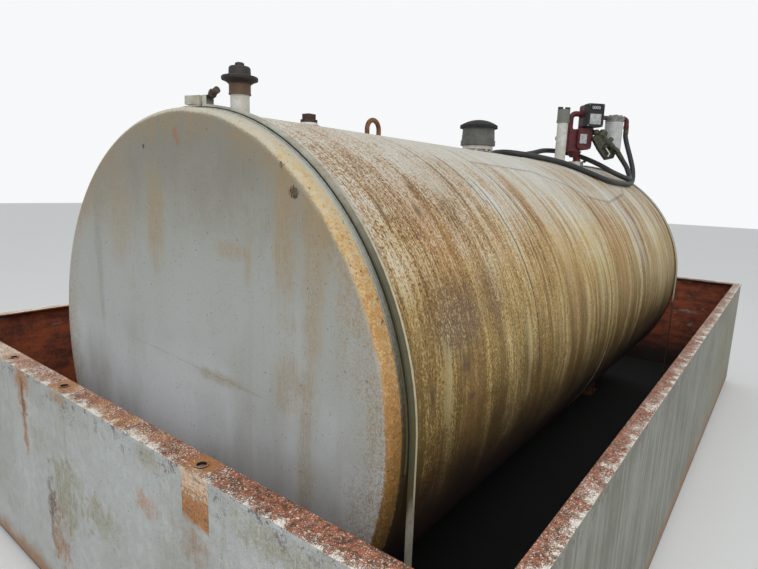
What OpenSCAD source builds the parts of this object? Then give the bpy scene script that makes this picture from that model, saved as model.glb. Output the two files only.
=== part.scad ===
// Horizontal steel fuel tank in an open steel containment dike, with its
// straps, top fittings, transfer pump, meter, filter, hose and nozzle.
// Millimetres, +Z up, origin at the bottom centre of the dike. The long axis
// is X, and the pale head that faces the viewer is at -X.

/* [Tank] */
// Outside diameter of the tank
tank_d = 1626; // [1400:2:1700]
// Length over both heads
tank_l = 3600; // [3500:5:3900]
// Plate thickness of shell and heads
tank_plate = 5; // [3:0.5:8]
// Outer radius of the rolled edge of a head
knuckle_r = 20; // [10:1:35]
// Depth of a head from its flat face to its weld
head_depth = 50; // [38:1:60]
// Distance from the weld between the two courses to the far head's face
far_course_l = 1755; // [1665:5:1810]
// Sideways offset of the tank from the dike's centre line
tank_offset_y = -191; // [-260:1:260]
// Distance from the dike's near end to the near head
near_gap = 243; // [160:1:300]

/* [Saddles] */
// Gap between the dike's floor and the tank's lowest line
under_tank_gap = 37; // [30:1:120]
// Width of a saddle across the tank
saddle_w = 900; // [500:10:1100]
// Thickness of a saddle's upright plate
saddle_web = 12; // [8:1:25]
// Length of a saddle's foot along the tank
saddle_foot = 160; // [80:5:300]
// Thickness of a saddle's foot plate
saddle_foot_t = 8; // [5:0.5:15]
// Thickness of the curved pad under the shell
saddle_pad_t = 6; // [4:0.5:12]
// Distance from each head's face to the middle of its saddle
saddle_inset = 520; // [300:10:700]

/* [Dike] */
// Overall length of the dike
dike_l = 4490; // [4400:10:5600]
// Overall width of the dike
dike_w = 2760; // [2660:10:3400]
// Height of the dike's rim above the ground
dike_h = 818; // [500:2:1000]
// Thickness of the dike's walls and floor
dike_plate = 5; // [4:0.5:10]
// Width of the turned rim on the two end walls
end_rim_w = 74; // [50:1:110]
// Width of the turned rim on the two side walls
side_rim_w = 50; // [35:1:90]
// Thickness of the rim
rim_t = 6; // [4:0.5:12]
// Depth of the rim's outer lip, the rim's own thickness included
rim_lip_h = 12; // [8:1:30]
// Thickness of the rim's outer lip
rim_lip_t = 3; // [2:0.5:6]
// Diameter of the holes in the near end's rim
rim_hole_d = 25; // [14:1:36]
// Width of the raised collar around each rim hole
rim_collar_w = 5; // [3:0.5:9]
// Height of the raised collar around each rim hole
rim_collar_h = 2.5; // [1:0.5:5]
// Distance of the two outer rim holes from the dike's centre line
rim_hole_y = 595; // [300:5:1000]
// Distance of the middle rim hole from the dike's centre line
rim_middle_hole_y = 165; // [0:5:250]
// Height of the channels under the floor
runner_h = 32; // [20:1:120]
// Width of the channels under the floor
runner_w = 90; // [60:5:160]
// Plate thickness of the channels
runner_plate = 5; // [3:0.5:8]
// Distance of the two long channels from the centre line
runner_y = 850; // [500:10:1100]
// Distance of the outer channels from the dike's edge
runner_inset = 40; // [10:5:120]

/* [Straps] */
// Distance from a head's face to the strap's black liner
strap_inset = 64; // [58:1:120]
// Width of a strap
strap_w = 25; // [18:1:60]
// Thickness of a strap
strap_t = 6; // [4:0.5:10]
// Thickness of the rubber liner under a strap
liner_t = 7.4; // [4:0.1:12]
// Width of the liner that shows beside the strap
liner_margin = 3; // [1:0.5:10]
// Side of the square plate under each strap's foot
strap_foot = 60; // [40:2:110]
// Tilt of the tensioner from the crest, toward the near side
tensioner_tilt = 2.6; // [1:0.1:15]
// Length of the gap between the strap's two ends
tensioner_gap = 14; // [8:1:60]
// Diameter of the tensioner's bolt
tensioner_bolt_d = 14; // [8:1:18]
// Length of the tensioner's long block
tensioner_block_l = 76; // [40:1:120]
// Length of the tensioner's short lug
tensioner_lug_l = 20; // [12:1:40]
// Height of the tensioner's block above the strap
tensioner_h = 26; // [24:1:45]
// Length of bolt that stands out beyond the lug
tensioner_tail = 40; // [10:1:60]
// Rise of the tensioner's bolt, in degrees
tensioner_rise = 24; // [0:1:30]

/* [Vent and plug] */
// Distance from the near head to the vent pipe
vent_x = 237; // [180:1:360]
// Outside diameter of the vent pipe
vent_d = 60.3; // [42:0.1:73]
// Wall of the vent pipe
vent_wall = 3.9; // [2.5:0.1:6]
// Height of bare vent pipe above the shell
vent_h = 66; // [40:1:200]
// Height of the vent cap's collar
vent_collar_h = 34; // [20:1:60]
// Diameter of the vent cap's wide disc
vent_disc_d = 115; // [95:1:150]
// Height of the vent cap's wide disc, its cone included
vent_disc_h = 22; // [10:1:35]
// Diameter of the vent cap's upper drum
vent_drum_d = 70; // [60:1:90]
// Height of the vent cap's upper drum
vent_drum_h = 29; // [15:1:50]
// Diameter of the knob on the vent cap
vent_knob_d = 30; // [16:1:45]
// Height of the knob on the vent cap
vent_knob_h = 13; // [8:1:30]
// Distance from the near head to the square plug
plug_x = 546; // [430:1:680]
// Diameter of the plug boss at the shell
plug_boss_d = 77; // [68:1:100]
// Diameter of the collar of the plug
plug_collar_d = 62; // [48:1:66]
// Height of the coned boss above the shell
plug_boss_h = 14; // [8:1:30]
// Height of the collar of the plug
plug_collar_h = 10; // [5:1:20]
// Side of the plug's square
plug_square = 35; // [20:1:42]
// Height of the plug's square
plug_square_h = 21; // [12:1:35]
// Distance from the near head to the lifting ring
ring_x = 923; // [820:1:1100]
// Thickness of the lifting ring's bar
ring_bar_d = 20; // [12:1:30]
// Spread of the lifting ring, centre to centre of its legs
ring_spread = 78; // [60:1:140]
// Height of the lifting ring above the shell
ring_h = 76; // [75:1:130]

/* [Emergency vent] */
// Distance from the far head to the emergency vent
relief_from_far = 1737; // [1670:1:1800]
// Outside diameter of the neck that is welded in the shell
relief_neck_d = 124; // [100:1:130]
// Wall of the neck
relief_neck_wall = 6; // [4:0.5:10]
// Height of the bolted flange's underside above the crest
relief_flange_z = 14; // [12:1:60]
// Diameter of the bolted flange
relief_flange_d = 167; // [160:1:184]
// Thickness of the bolted flange
relief_flange_t = 20; // [10:1:30]
// Number of bolts in the flange
relief_bolts = 8; // [4:1:10]
// Width across the flats of a flange bolt's nut
relief_nut = 17; // [13:1:17]
// Diameter of the ring at the foot of the vent's body
relief_ring_d = 190; // [186:1:220]
// Height of the ring at the foot of the vent's body
relief_ring_h = 25; // [12:1:40]
// Diameter of the vent's body at its foot
relief_body_d = 182; // [176:1:184]
// Diameter of the vent's body at its top
relief_body_top_d = 172; // [165:1:175]
// Height of the vent's body above its ring
relief_body_h = 78; // [50:1:140]
// Wall of the vent's body
relief_wall = 5; // [3:0.5:8]
// Diameter of the vent's domed cap
relief_cap_d = 206; // [196:1:240]
// Depth of the skirt of the domed cap
relief_skirt_h = 14; // [8:1:20]
// Rise of the dome above its skirt
relief_dome_h = 31; // [15:1:50]
// Wall of the domed cap
relief_cap_wall = 4; // [3:0.5:6]
// Diameter of the stem that guides the domed cap
relief_stem_d = 16; // [10:1:24]

/* [Fill pipe] */
// Distance from the far head to the fill pipe
fill_from_far = 578; // [560:1:610]
// Sideways place of the fill pipe on the tank
fill_y = -54; // [-62:1:-46]
// Outside diameter of the fill pipe
fill_d = 73; // [60.3:0.1:76]
// Wall of the fill pipe
fill_wall = 5.2; // [3:0.1:8]
// Height of the fill cap's lower edge above the crest
fill_h = 282; // [200:1:420]
// Diameter of the fill cap
fill_cap_d = 88; // [80:1:92]
// Height of the fill cap without its lugs
fill_cap_h = 90; // [70:1:130]
// Height of the fill cap's two lugs
fill_lug_h = 17; // [10:1:35]
// Length of one lug across the cap
fill_lug_l = 34; // [24:1:40]

/* [Pump] */
// Distance from the far head to the pump's bushing
pump_from_far = 400; // [385:1:410]
// Sideways place of the pump's bushing on the tank
pump_y = -118; // [-130:1:-112]
// Turn of the pump on its bushing, clockwise from above
pump_turn = 44; // [40:1:48]
// Diameter of the bushing under the pump
bushing_d = 56; // [52:1:60]
// Height of the bushing above the crest
bushing_h = 22; // [14:1:30]
// Bore of the bushing
bushing_bore = 34; // [25:1:40]
// Height of the pump's tapered neck
neck_h = 70; // [55:1:75]
// Width of the pump's body
body_w = 110; // [90:1:112]
// Depth of the pump's body from front to back
body_deep = 120; // [90:1:130]
// Height of the pump's body above its neck
body_h = 163; // [160:1:170]
// Width of the pump's chamber
chamber_w = 112; // [100:1:116]
// Height of the pump's chamber
chamber_h = 150; // [130:1:155]
// Corner radius of the pump's chamber
chamber_corner = 28; // [12:1:40]
// Thickness of the pump's front cover
cover_t = 10; // [6:1:16]
// Diameter of the motor
motor_d = 124; // [100:1:130]
// Length of the motor behind the pump
motor_l = 130; // [90:1:160]
// Diameter of the round cap on the motor's side
motor_knob_d = 58; // [40:1:64]
// Height of the round cap on the motor's side
motor_knob_h = 34; // [20:1:40]
// Width of the bare label plate
label_w = 52; // [40:1:60]
// Height of the bare label plate
label_h = 66; // [40:1:90]
// Diameter of the outlet pipe over the pump
outlet_d = 46; // [40:1:48]
// Height of the outlet pipe's centre above the pump's top
outlet_rise = 103; // [100:1:108]

/* [Meter and filter] */
// Width of the meter and its register
meter_w = 122; // [110:1:130]
// Height of the meter and its register
meter_h = 158; // [140:1:162]
// Depth of the cast meter body
meter_deep = 66; // [50:1:80]
// Depth of the register in front of the meter
register_deep = 62; // [40:1:66]
// Gap between the pump's top and the meter
meter_lift = 9; // [6:1:14]
// Width of the register's window for its numbers
window_w = 72; // [50:1:90]
// Height of the register's window for its numbers
window_h = 26; // [16:1:30]
// Depth of the register's window
window_deep = 4; // [2:0.5:8]
// Diameter of the pipe from the meter to the filter
link_d = 31; // [21:1:33]
// Distance from the meter to the filter
filter_reach = 86; // [70:1:90]
// Diameter of the filter's head
filter_head_d = 127; // [126:1:132]
// Height of the filter's head
filter_head_h = 46; // [34:1:50]
// Diameter of the filter's canister
filter_d = 124; // [100:1:125]
// Height of the filter's canister
filter_h = 222; // [150:1:230]
// Distance from the filter's head to the hose's centre
hose_reach = 35; // [30:1:36]

/* [Nozzle] */
// Diameter of the nozzle's spout
spout_d = 22; // [16:1:25]
// Length of spout held in the holster
spout_l = 92; // [60:1:110]
// Wall around the holster's socket
holster_wall = 6; // [3:1:8]
// Depth of the holster from front to back
holster_deep = 60; // [30:1:70]
// Diameter of the nozzle's barrel
barrel_d = 38; // [30:1:40]
// Thickness of the hand guard's rim
guard_wall = 7; // [4:0.5:9]
// Depth of the hand guard from front to back
guard_deep = 34; // [30:1:40]
// Thickness of the hand guard's back
guard_back = 4; // [2:0.5:6]
// Width of the squeeze lever
lever_w = 12; // [8:1:14]
// Thickness of the squeeze lever
lever_t = 7; // [4:0.5:9]
// Diameter of the lever's pin
pin_d = 7; // [4:0.5:8]
// Diameter of the hose
hose_d = 34; // [28:1:34]

/* [Hidden] */
$fn = 64;
shell_fn = 180;

// Clearances
seat_gap = 0.3;
pin_gap = 0.1;
play = 5;
over = 1;

// Derived places of the tank
tank_r = tank_d / 2;
floor_z = runner_h + dike_plate;
axis_z = floor_z + under_tank_gap + tank_r;
head_x = near_gap - dike_l / 2;
crest = tank_r;
course_seam_x = tank_l - far_course_l;
relief_x = tank_l - relief_from_far;
fill_x = tank_l - fill_from_far;
pump_x = tank_l - pump_from_far;
near_saddle_x = head_x + saddle_inset;
far_saddle_x = head_x + tank_l - saddle_inset;

// Derived radii of the straps
liner_r = tank_r + seat_gap;
strap_r = liner_r + liner_t + seat_gap;
strap_top = strap_r + strap_t;

// Derived heights of the emergency vent above the crest
relief_ring_z = relief_flange_z + relief_flange_t;
relief_body_z = relief_ring_z + relief_ring_h;
relief_top_z = relief_body_z + relief_body_h;

// Derived places of the pump, meter, filter and nozzle
neck_z = bushing_h;
body_z = neck_z + neck_h;
body_top = body_z + body_h;
body_x = -50;
chamber_x = 12;
label_x = -14;
chamber_z = body_top - chamber_h / 2;
front_y = -body_deep / 2;
motor_z = 192;
outlet_x = -82;
column_step = 8;
outlet_z = body_top + outlet_rise;
meter_x = 57;
meter_y = -14;
meter_z = body_top + meter_lift + meter_h / 2;
link_y = 0;
link_z = meter_z;
filter_x = meter_x + meter_w / 2 + filter_reach + filter_head_d / 2;
filter_head_z = link_z - filter_head_h / 2 - 6;
hose_x = filter_x + filter_head_d / 2 + hose_reach;
hose_top_z = 273;
coupling_h = 14;
nozzle_place = [68, -88, 239];
nozzle_tilt = 35.2;
lever_pin = [138, -34];
lever_swing = 14;

// Route of the hose from the filter to the nozzle, from the crest over the far head's face
hose_route = [[-135, -374, 272], [-135, -374, 242], [-135, -375, 217], [-134, -392, 157],
              [-134, -424, 67], [-137, -448, -7], [-157, -463, -68], [-215, -474, -113],
              [-315, -479, -131], [-520, -474, -130], [-720, -464, -123], [-860, -434, -104],
              [-960, -388, -78], [-1040, -325, -48], [-1133, -262, -23], [-1240, -210, -8],
              [-1335, -174, 0], [-1410, -122, 9], [-1444, -36, 18], [-1416, 54, 17], [-1336, 106, 11],
              [-1180, 122, 11], [-1000, 104, 27], [-800, 70, 57], [-660, 52, 83], [-550, 48, 93],
              [-450, 36, 97], [-370, -5, 91], [-324, -75, 77], [-316, -160, 47], [-338, -240, 15],
              [-370, -310, -17], [-394, -370, -47], [-392, -424, -72], [-364, -460, -89],
              [-316, -474, -95], [-268, -468, -85], [-236, -450, -53], [-230, -428, -7],
              [-242, -402, 35], [-261, -378, 76]];
hose_sides = 10;
hose_steps = 2;

// Point on the smooth curve through four neighbouring route points
function between(a, b, c, d, t) =
    0.5 * (2 * b + (c - a) * t + (2 * a - 5 * b + 4 * c - d) * t * t + (3 * b - a - 3 * c + d) * t * t * t);

function route_point(p, i) = i < 0 ? 2 * p[0] - p[1]
    : i >= len(p) ? 2 * p[len(p) - 1] - p[len(p) - 2] : p[i];

function smooth_route(p) = concat(
    [for (i = [0:len(p) - 2], k = [0:hose_steps - 1])
        between(route_point(p, i - 1), p[i], p[i + 1], route_point(p, i + 2), k / hose_steps)],
    [p[len(p) - 1]]);

function unit(v) = v / norm(v);

function heading(p, i) = unit(p[min(i + 1, len(p) - 1)] - p[max(i - 1, 0)]);

// Sideways direction of each ring, carried along the route without twist
function carried(p, i, side) = i == len(p) - 1 ? [side]
    : concat([side], carried(p, i + 1, unit(side - (side * heading(p, i + 1)) * heading(p, i + 1))));

hose_points = smooth_route(hose_route);
hose_end = hose_route[len(hose_route) - 1];
hose_end_side = hose_end - hose_points[len(hose_points) - 2];
ferrule_l = 24;

// Shared helpers
module on_tank() {
    translate([head_x, tank_offset_y, axis_z])
        children();
}

module on_far_end() {
    on_tank()
        translate([tank_l, 0, 0])
            children();
}

module on_crest(x, y = 0) {
    on_tank()
        translate([x, y, crest])
            children();
}

module on_pump() {
    on_crest(pump_x, pump_y)
        rotate(-pump_turn)
            children();
}

module on_nozzle() {
    on_pump()
        translate(nozzle_place)
            rotate([0, nozzle_tilt, 0])
                children();
}

module along_x() {
    rotate([0, 90, 0])
        children();
}

module along_y() {
    rotate([-90, 0, 0])
        children();
}

module block(from, to) {
    translate(from)
        cube(to - from);
}

module rod(r, h) {
    cylinder(r = r, h = h);
}

module rounded_square(w, h, r) {
    square([w - 2 * r, h], center = true);
    square([w, h - 2 * r], center = true);
    for (sx = [-1, 1], sy = [-1, 1])
        translate([sx * (w / 2 - r), sy * (h / 2 - r)])
            circle(r);
}

module upright_slab(w, h, r, deep) {
    translate([0, deep, 0])
        rotate([90, 0, 0])
            linear_extrude(deep)
                rounded_square(w, h, r);
}

module turned_along(v) {
    rotate([0, acos(v[2] / norm(v)), atan2(v[1], v[0])])
        children();
}

module hexagon(flats, h) {
    cylinder(d = flats / cos(30), h = h, $fn = 6);
}

// Holes that the fittings need in the shell
module shell_holes() {
    deep = 2 * crest / 5;
    translate([vent_x, 0, crest - deep / 2])
        rod(vent_d / 2 + seat_gap, deep);
    translate([plug_x, 0, crest - deep / 2])
        rod(plug_collar_d / 2 + seat_gap, deep);
    translate([relief_x, 0, crest - deep / 2])
        rod(relief_neck_d / 2 + seat_gap, deep);
    translate([fill_x, fill_y, crest - deep / 2])
        rod(fill_d / 2 + seat_gap, deep);
    translate([pump_x, pump_y, crest - deep / 2])
        rod(bushing_d / 2 + seat_gap, deep);
}

module shell_course(from_x, to_x) {
    difference() {
        translate([from_x, 0, 0])
            along_x()
                difference() {
                    cylinder(r = tank_r, h = to_x - from_x, $fn = shell_fn);
                    translate([0, 0, -over])
                        cylinder(r = tank_r - tank_plate, h = to_x - from_x + 2 * over, $fn = shell_fn);
                }
        shell_holes();
    }
}

module head_profile() {
    square([tank_r - knuckle_r, tank_plate]);
    translate([tank_r - knuckle_r, knuckle_r])
        intersection() {
            difference() {
                circle(knuckle_r);
                circle(knuckle_r - tank_plate);
            }
            translate([0, -knuckle_r])
                square(knuckle_r);
        }
    translate([tank_r - tank_plate, knuckle_r])
        square([tank_plate, head_depth - knuckle_r]);
}

module head() {
    along_x()
        rotate_extrude($fn = shell_fn)
            head_profile();
}

module saddle(x) {
    pad_half = asin(saddle_w / 2 / (tank_r + saddle_pad_t));
    bottom = -tank_r - under_tank_gap;
    web_top = -(tank_r + saddle_pad_t) * cos(pad_half);
    pad_r = tank_r + seat_gap;
    translate([x, 0, 0]) {
        block([-saddle_foot / 2, -saddle_w / 2, bottom], [saddle_foot / 2, saddle_w / 2, bottom + saddle_foot_t]);
        difference() {
            block([-saddle_web / 2, -saddle_w / 2, bottom + saddle_foot_t / 2],
                  [saddle_web / 2, saddle_w / 2, web_top]);
            translate([-saddle_web, 0, 0])
                along_x()
                    cylinder(r = pad_r + saddle_pad_t / 2, h = 2 * saddle_web, $fn = shell_fn);
        }
        translate([-saddle_foot / 2, 0, 0])
            along_x()
                rotate_extrude(angle = 2 * pad_half, start = -pad_half, $fn = shell_fn)
                    translate([pad_r, 0])
                        square([saddle_pad_t, saddle_foot]);
    }
}

// One end wall with its inward rim; the near one is drawn, the far one is mirrored
module end_wall(holes) {
    outer = -dike_l / 2;
    side = dike_w / 2;
    face = outer + rim_lip_t;
    difference() {
        union() {
            block([face, rim_lip_t - side, floor_z], [face + dike_plate, side - rim_lip_t, dike_h - rim_t]);
            block([outer, -side, dike_h - rim_t], [outer + end_rim_w, side, dike_h]);
            block([outer, -side, dike_h - rim_lip_h], [face, side, dike_h - rim_t]);
            for (y = holes)
                translate([outer + end_rim_w / 2, y, dike_h])
                    rod(rim_hole_d / 2 + rim_collar_w, rim_collar_h);
        }
        for (y = holes)
            translate([outer + end_rim_w / 2, y, dike_h - rim_t - over])
                rod(rim_hole_d / 2, rim_t + rim_collar_h + 2 * over);
    }
}

module side_wall() {
    outer = -dike_w / 2;
    face = outer + rim_lip_t;
    wall_end = dike_l / 2 - rim_lip_t - dike_plate;
    rim_end = dike_l / 2 - end_rim_w;
    lip_end = dike_l / 2 - rim_lip_t;
    block([-wall_end, face, floor_z], [wall_end, face + dike_plate, dike_h - rim_t]);
    block([-rim_end, outer, dike_h - rim_t], [rim_end, outer + side_rim_w, dike_h]);
    block([-lip_end, outer, dike_h - rim_lip_h], [lip_end, face, dike_h - rim_t]);
}

module strap_band(from_angle, to_angle) {
    along_x()
        rotate_extrude(angle = to_angle - from_angle, start = from_angle, $fn = shell_fn)
            translate([strap_r, 0])
                square([strap_t, strap_w]);
}

// Angle that a length along the crest takes at the strap's radius
function strap_angle(length) = length / strap_r * 180 / PI;

module strap() {
    half_gap = strap_angle(tensioner_gap / 2);
    top = 180 + tensioner_tilt;
    foot_z = -tank_r - under_tank_gap;
    // Half on the far side of the crest, then the half on the near side
    strap_band(90, top - half_gap);
    strap_band(top + half_gap, 270);
    for (side = [-1, 1]) {
        inner_y = side > 0 ? strap_r : -strap_top;
        block([0, inner_y, foot_z + strap_t], [strap_w, inner_y + strap_t, 0]);
        translate([strap_w / 2, inner_y + strap_t / 2, foot_z + strap_t / 2])
            cube([strap_w + strap_foot / 2, strap_foot, strap_t], center = true);
    }
}

module at_tensioner() {
    rotate([tensioner_tilt, 0, 0])
        translate([strap_w / 2, 0, strap_top])
            children();
}

module strap_with_lug() {
    strap();
    lug_start = -tensioner_gap / 2 - tensioner_lug_l;
    at_tensioner()
        difference() {
            block([-strap_w / 2, lug_start, -strap_t / 2], [strap_w / 2, -tensioner_gap / 2, tensioner_h]);
            on_bolt(2 * lug_start)
                rod(tensioner_bolt_d / 2 + seat_gap, -2 * lug_start);
        }
}

// Frame of the tensioner's bolt, that many millimetres along it from the block's edge
module on_bolt(along) {
    translate([0, tensioner_gap / 2, tensioner_h * 0.4])
        rotate([-90 - tensioner_rise, 0, 0])
            translate([0, 0, along])
                children();
}

// Long block, bolt, nut and ring of one strap's tensioner
module tensioner() {
    deep = 6;
    nut_t = tensioner_bolt_d * 0.7;
    nut_at = -(tensioner_gap + tensioner_lug_l) / cos(tensioner_rise) - nut_t - 8;
    bolt_end = -(tensioner_gap + tensioner_lug_l) - tensioner_tail;
    at_tensioner() {
        difference() {
            block([-strap_w / 2, tensioner_gap / 2, seat_gap],
                  [strap_w / 2, tensioner_gap / 2 + tensioner_block_l, tensioner_h]);
            on_bolt(-deep)
                rod(tensioner_bolt_d / 2, 2 * deep);
        }
        on_bolt(bolt_end)
            rod(tensioner_bolt_d / 2, deep - bolt_end);
        on_bolt(nut_at)
            hexagon(tensioner_bolt_d * 1.6, nut_t);
        on_bolt(bolt_end - 1)
            rod(tensioner_bolt_d * 0.7, tensioner_bolt_d * 0.8);
    }
}

// Dike
module dike_floor() {
    color([0.16, 0.14, 0.13])
        block([rim_lip_t - dike_l / 2, rim_lip_t - dike_w / 2, runner_h],
              [dike_l / 2 - rim_lip_t, dike_w / 2 - rim_lip_t, floor_z]);
}

module runner_boxes(inset) {
    half_l = dike_l / 2 - runner_inset;
    half_w = dike_w / 2 - runner_inset;
    half_r = runner_w / 2 - inset;
    low = inset;
    high = runner_h + (inset > 0 ? over : 0);
    for (side = [-1, 1])
        translate([0, side * runner_y, 0])
            block([inset - half_l, -half_r, low], [half_l - inset, half_r, high]);
    for (x = [runner_w / 2 - half_l, near_saddle_x, (near_saddle_x + far_saddle_x) / 2, far_saddle_x,
              half_l - runner_w / 2])
        translate([x, 0, 0])
            block([-half_r, inset - half_w, low], [half_r, half_w - inset, high]);
}

module runners() {
    color([0.30, 0.20, 0.15])
        difference() {
            runner_boxes(0);
            runner_boxes(runner_plate);
        }
}

module near_wall() {
    color([0.62, 0.62, 0.60])
        end_wall([-rim_hole_y, rim_middle_hole_y, rim_hole_y]);
}

module far_wall() {
    color([0.62, 0.62, 0.60])
        mirror([1, 0, 0])
            end_wall([]);
}

module left_wall() {
    color([0.60, 0.60, 0.58])
        mirror([0, 1, 0])
            side_wall();
}

module right_wall() {
    color([0.60, 0.60, 0.58])
        side_wall();
}

// Tank
module near_saddle() {
    color([0.24, 0.17, 0.14])
        on_tank()
            saddle(saddle_inset);
}

module far_saddle() {
    color([0.24, 0.17, 0.14])
        on_tank()
            saddle(tank_l - saddle_inset);
}

module near_shell() {
    color([0.80, 0.77, 0.68])
        on_tank()
            shell_course(head_depth, course_seam_x);
}

module far_shell() {
    color([0.80, 0.77, 0.68])
        on_tank()
            shell_course(course_seam_x, tank_l - head_depth);
}

module near_head() {
    color([0.86, 0.87, 0.86])
        on_tank()
            head();
}

module far_head() {
    color([0.86, 0.87, 0.86])
        on_far_end()
            mirror([1, 0, 0])
                head();
}

// Straps
module at_far_strap() {
    on_far_end()
        mirror([1, 0, 0])
            translate([strap_inset, 0, 0])
                children();
}

module at_near_strap() {
    on_tank()
        translate([strap_inset, 0, 0])
            children();
}

module liner() {
    overhang = 4;
    along_x()
        rotate_extrude(angle = 180 + 2 * overhang, start = 90 - overhang, $fn = shell_fn)
            translate([liner_r, 0])
                square([liner_t, strap_w + liner_margin]);
}

module near_liner() {
    color([0.08, 0.08, 0.08])
        at_near_strap()
            liner();
}

module far_liner() {
    color([0.08, 0.08, 0.08])
        at_far_strap()
            liner();
}

module near_strap() {
    color([0.78, 0.76, 0.70])
        at_near_strap()
            translate([liner_margin, 0, 0])
                strap_with_lug();
}

module far_strap() {
    color([0.78, 0.76, 0.70])
        at_far_strap()
            translate([liner_margin, 0, 0])
                strap_with_lug();
}

module near_tensioner() {
    color([0.55, 0.52, 0.48])
        at_near_strap()
            translate([liner_margin, 0, 0])
                tensioner();
}

module far_tensioner() {
    color([0.55, 0.52, 0.48])
        at_far_strap()
            translate([liner_margin, 0, 0])
                tensioner();
}

// Vent pipe, plug and lifting ring
module vent_pipe() {
    below = 20;
    color([0.80, 0.78, 0.72])
        on_crest(vent_x)
            translate([0, 0, -below])
                difference() {
                    rod(vent_d / 2, below + vent_h + vent_collar_h / 2);
                    translate([0, 0, -over])
                        rod(vent_d / 2 - vent_wall, below + vent_h + vent_collar_h);
                }
}

module vent_cap() {
    collar_r = vent_d / 2 + 5;
    color([0.16, 0.12, 0.10])
        on_crest(vent_x)
            translate([0, 0, vent_h]) {
                difference() {
                    rod(collar_r, vent_collar_h);
                    translate([0, 0, -over])
                        rod(vent_d / 2 + seat_gap, vent_collar_h / 2 + over + seat_gap);
                }
                translate([0, 0, vent_collar_h]) {
                    cylinder(r1 = collar_r, r2 = vent_disc_d / 2, h = vent_disc_h / 2);
                    translate([0, 0, vent_disc_h / 2])
                        rod(vent_disc_d / 2, vent_disc_h / 3);
                    translate([0, 0, vent_disc_h / 2 + vent_disc_h / 3])
                        cylinder(d1 = vent_disc_d - 4, d2 = vent_drum_d, h = vent_disc_h / 6);
                    translate([0, 0, vent_disc_h]) {
                        rod(vent_drum_d / 2, vent_drum_h);
                        translate([0, 0, vent_drum_h])
                            rod(vent_knob_d / 2, vent_knob_h);
                    }
                }
            }
}

module plug_boss() {
    below = 12;
    drop = 4;
    plug_r = plug_collar_d / 2 - 8;
    color([0.70, 0.66, 0.58])
        on_crest(plug_x)
            difference() {
                union() {
                    translate([0, 0, -below])
                        rod(plug_collar_d / 2, below + plug_boss_h);
                    intersection() {
                        translate([0, 0, -drop])
                            cylinder(d1 = plug_boss_d + 6, d2 = plug_collar_d, h = drop + plug_boss_h);
                        translate([0, 0, -crest])
                            translate([-plug_boss_d, 0, 0])
                                along_x()
                                    difference() {
                                        cylinder(r = crest + plug_boss_h + over, h = 2 * plug_boss_d, $fn = shell_fn);
                                        translate([0, 0, -over])
                                            cylinder(r = crest + seat_gap, h = 2 * plug_boss_d + 2 * over, $fn = shell_fn);
                                    }
                    }
                }
                translate([0, 0, -below - over])
                    rod(plug_r + seat_gap, below + plug_boss_h + 2 * over);
            }
}

module square_plug() {
    depth = 16;
    plug_r = plug_collar_d / 2 - 8;
    color([0.28, 0.20, 0.16])
        on_crest(plug_x)
            translate([0, 0, plug_boss_h]) {
                translate([0, 0, -depth])
                    rod(plug_r, depth + seat_gap);
                translate([0, 0, seat_gap])
                    rod(plug_collar_d / 2, plug_collar_h);
                translate([0, 0, plug_collar_h + plug_square_h / 2])
                    cube([plug_square, plug_square, plug_square_h], center = true);
            }
}

module lifting_ring() {
    bend_r = ring_spread / 2;
    leg = ring_h - ring_bar_d / 2 - bend_r;
    color([0.42, 0.26, 0.18])
        on_crest(ring_x) {
            translate([0, 0, leg])
                rotate([90, 0, 0])
                    rotate_extrude(angle = 180)
                        translate([bend_r, 0])
                            circle(ring_bar_d / 2);
            for (side = [-1, 1])
                translate([side * bend_r, 0, 0])
                    rod(ring_bar_d / 2, leg);
        }
}

// Emergency vent
module relief_base() {
    below = 25;
    bolt_circle = (relief_neck_d + relief_flange_d) / 4;
    nut_h = 9;
    color([0.36, 0.30, 0.25])
        on_crest(relief_x) {
            difference() {
                union() {
                    translate([0, 0, -below])
                        rod(relief_neck_d / 2, below + relief_flange_z);
                    translate([0, 0, relief_flange_z])
                        rod(relief_flange_d / 2, relief_flange_t);
                    for (i = [0:relief_bolts - 1])
                        rotate((i + 0.5) * 360 / relief_bolts)
                            translate([bolt_circle, 0, relief_flange_z - nut_h])
                                hexagon(relief_nut, nut_h);
                }
                translate([0, 0, -below - over])
                    rod(relief_neck_d / 2 - relief_neck_wall, below + relief_ring_z + 2 * over);
            }
        }
}

module relief_body() {
    bore_r = relief_neck_d / 2 - relief_neck_wall;
    foot_r = relief_body_d / 2;
    top_r = relief_body_top_d / 2;
    guide_r = relief_stem_d / 2 + 6;
    guide_h = 24;
    spoke = 8;
    color([0.22, 0.21, 0.20])
        on_crest(relief_x) {
            rotate_extrude()
                polygon([[bore_r, relief_ring_z], [relief_ring_d / 2, relief_ring_z],
                         [relief_ring_d / 2, relief_body_z], [foot_r, relief_body_z],
                         [top_r, relief_top_z], [top_r - relief_wall, relief_top_z],
                         [foot_r - relief_wall, relief_body_z - spoke], [bore_r, relief_body_z - spoke]]);
            difference() {
                translate([0, 0, relief_ring_z])
                    rod(guide_r, guide_h);
                translate([0, 0, relief_ring_z - over])
                    rod(relief_stem_d / 2 + pin_gap, guide_h + 2 * over);
            }
            // Spokes that carry the stem's guide
            for (i = [0:2])
                rotate(i * 120)
                    block([guide_r - 2, -spoke / 2, relief_ring_z + 2],
                          [bore_r + 2, spoke / 2, relief_ring_z + 2 + spoke]);
        }
}

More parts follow.
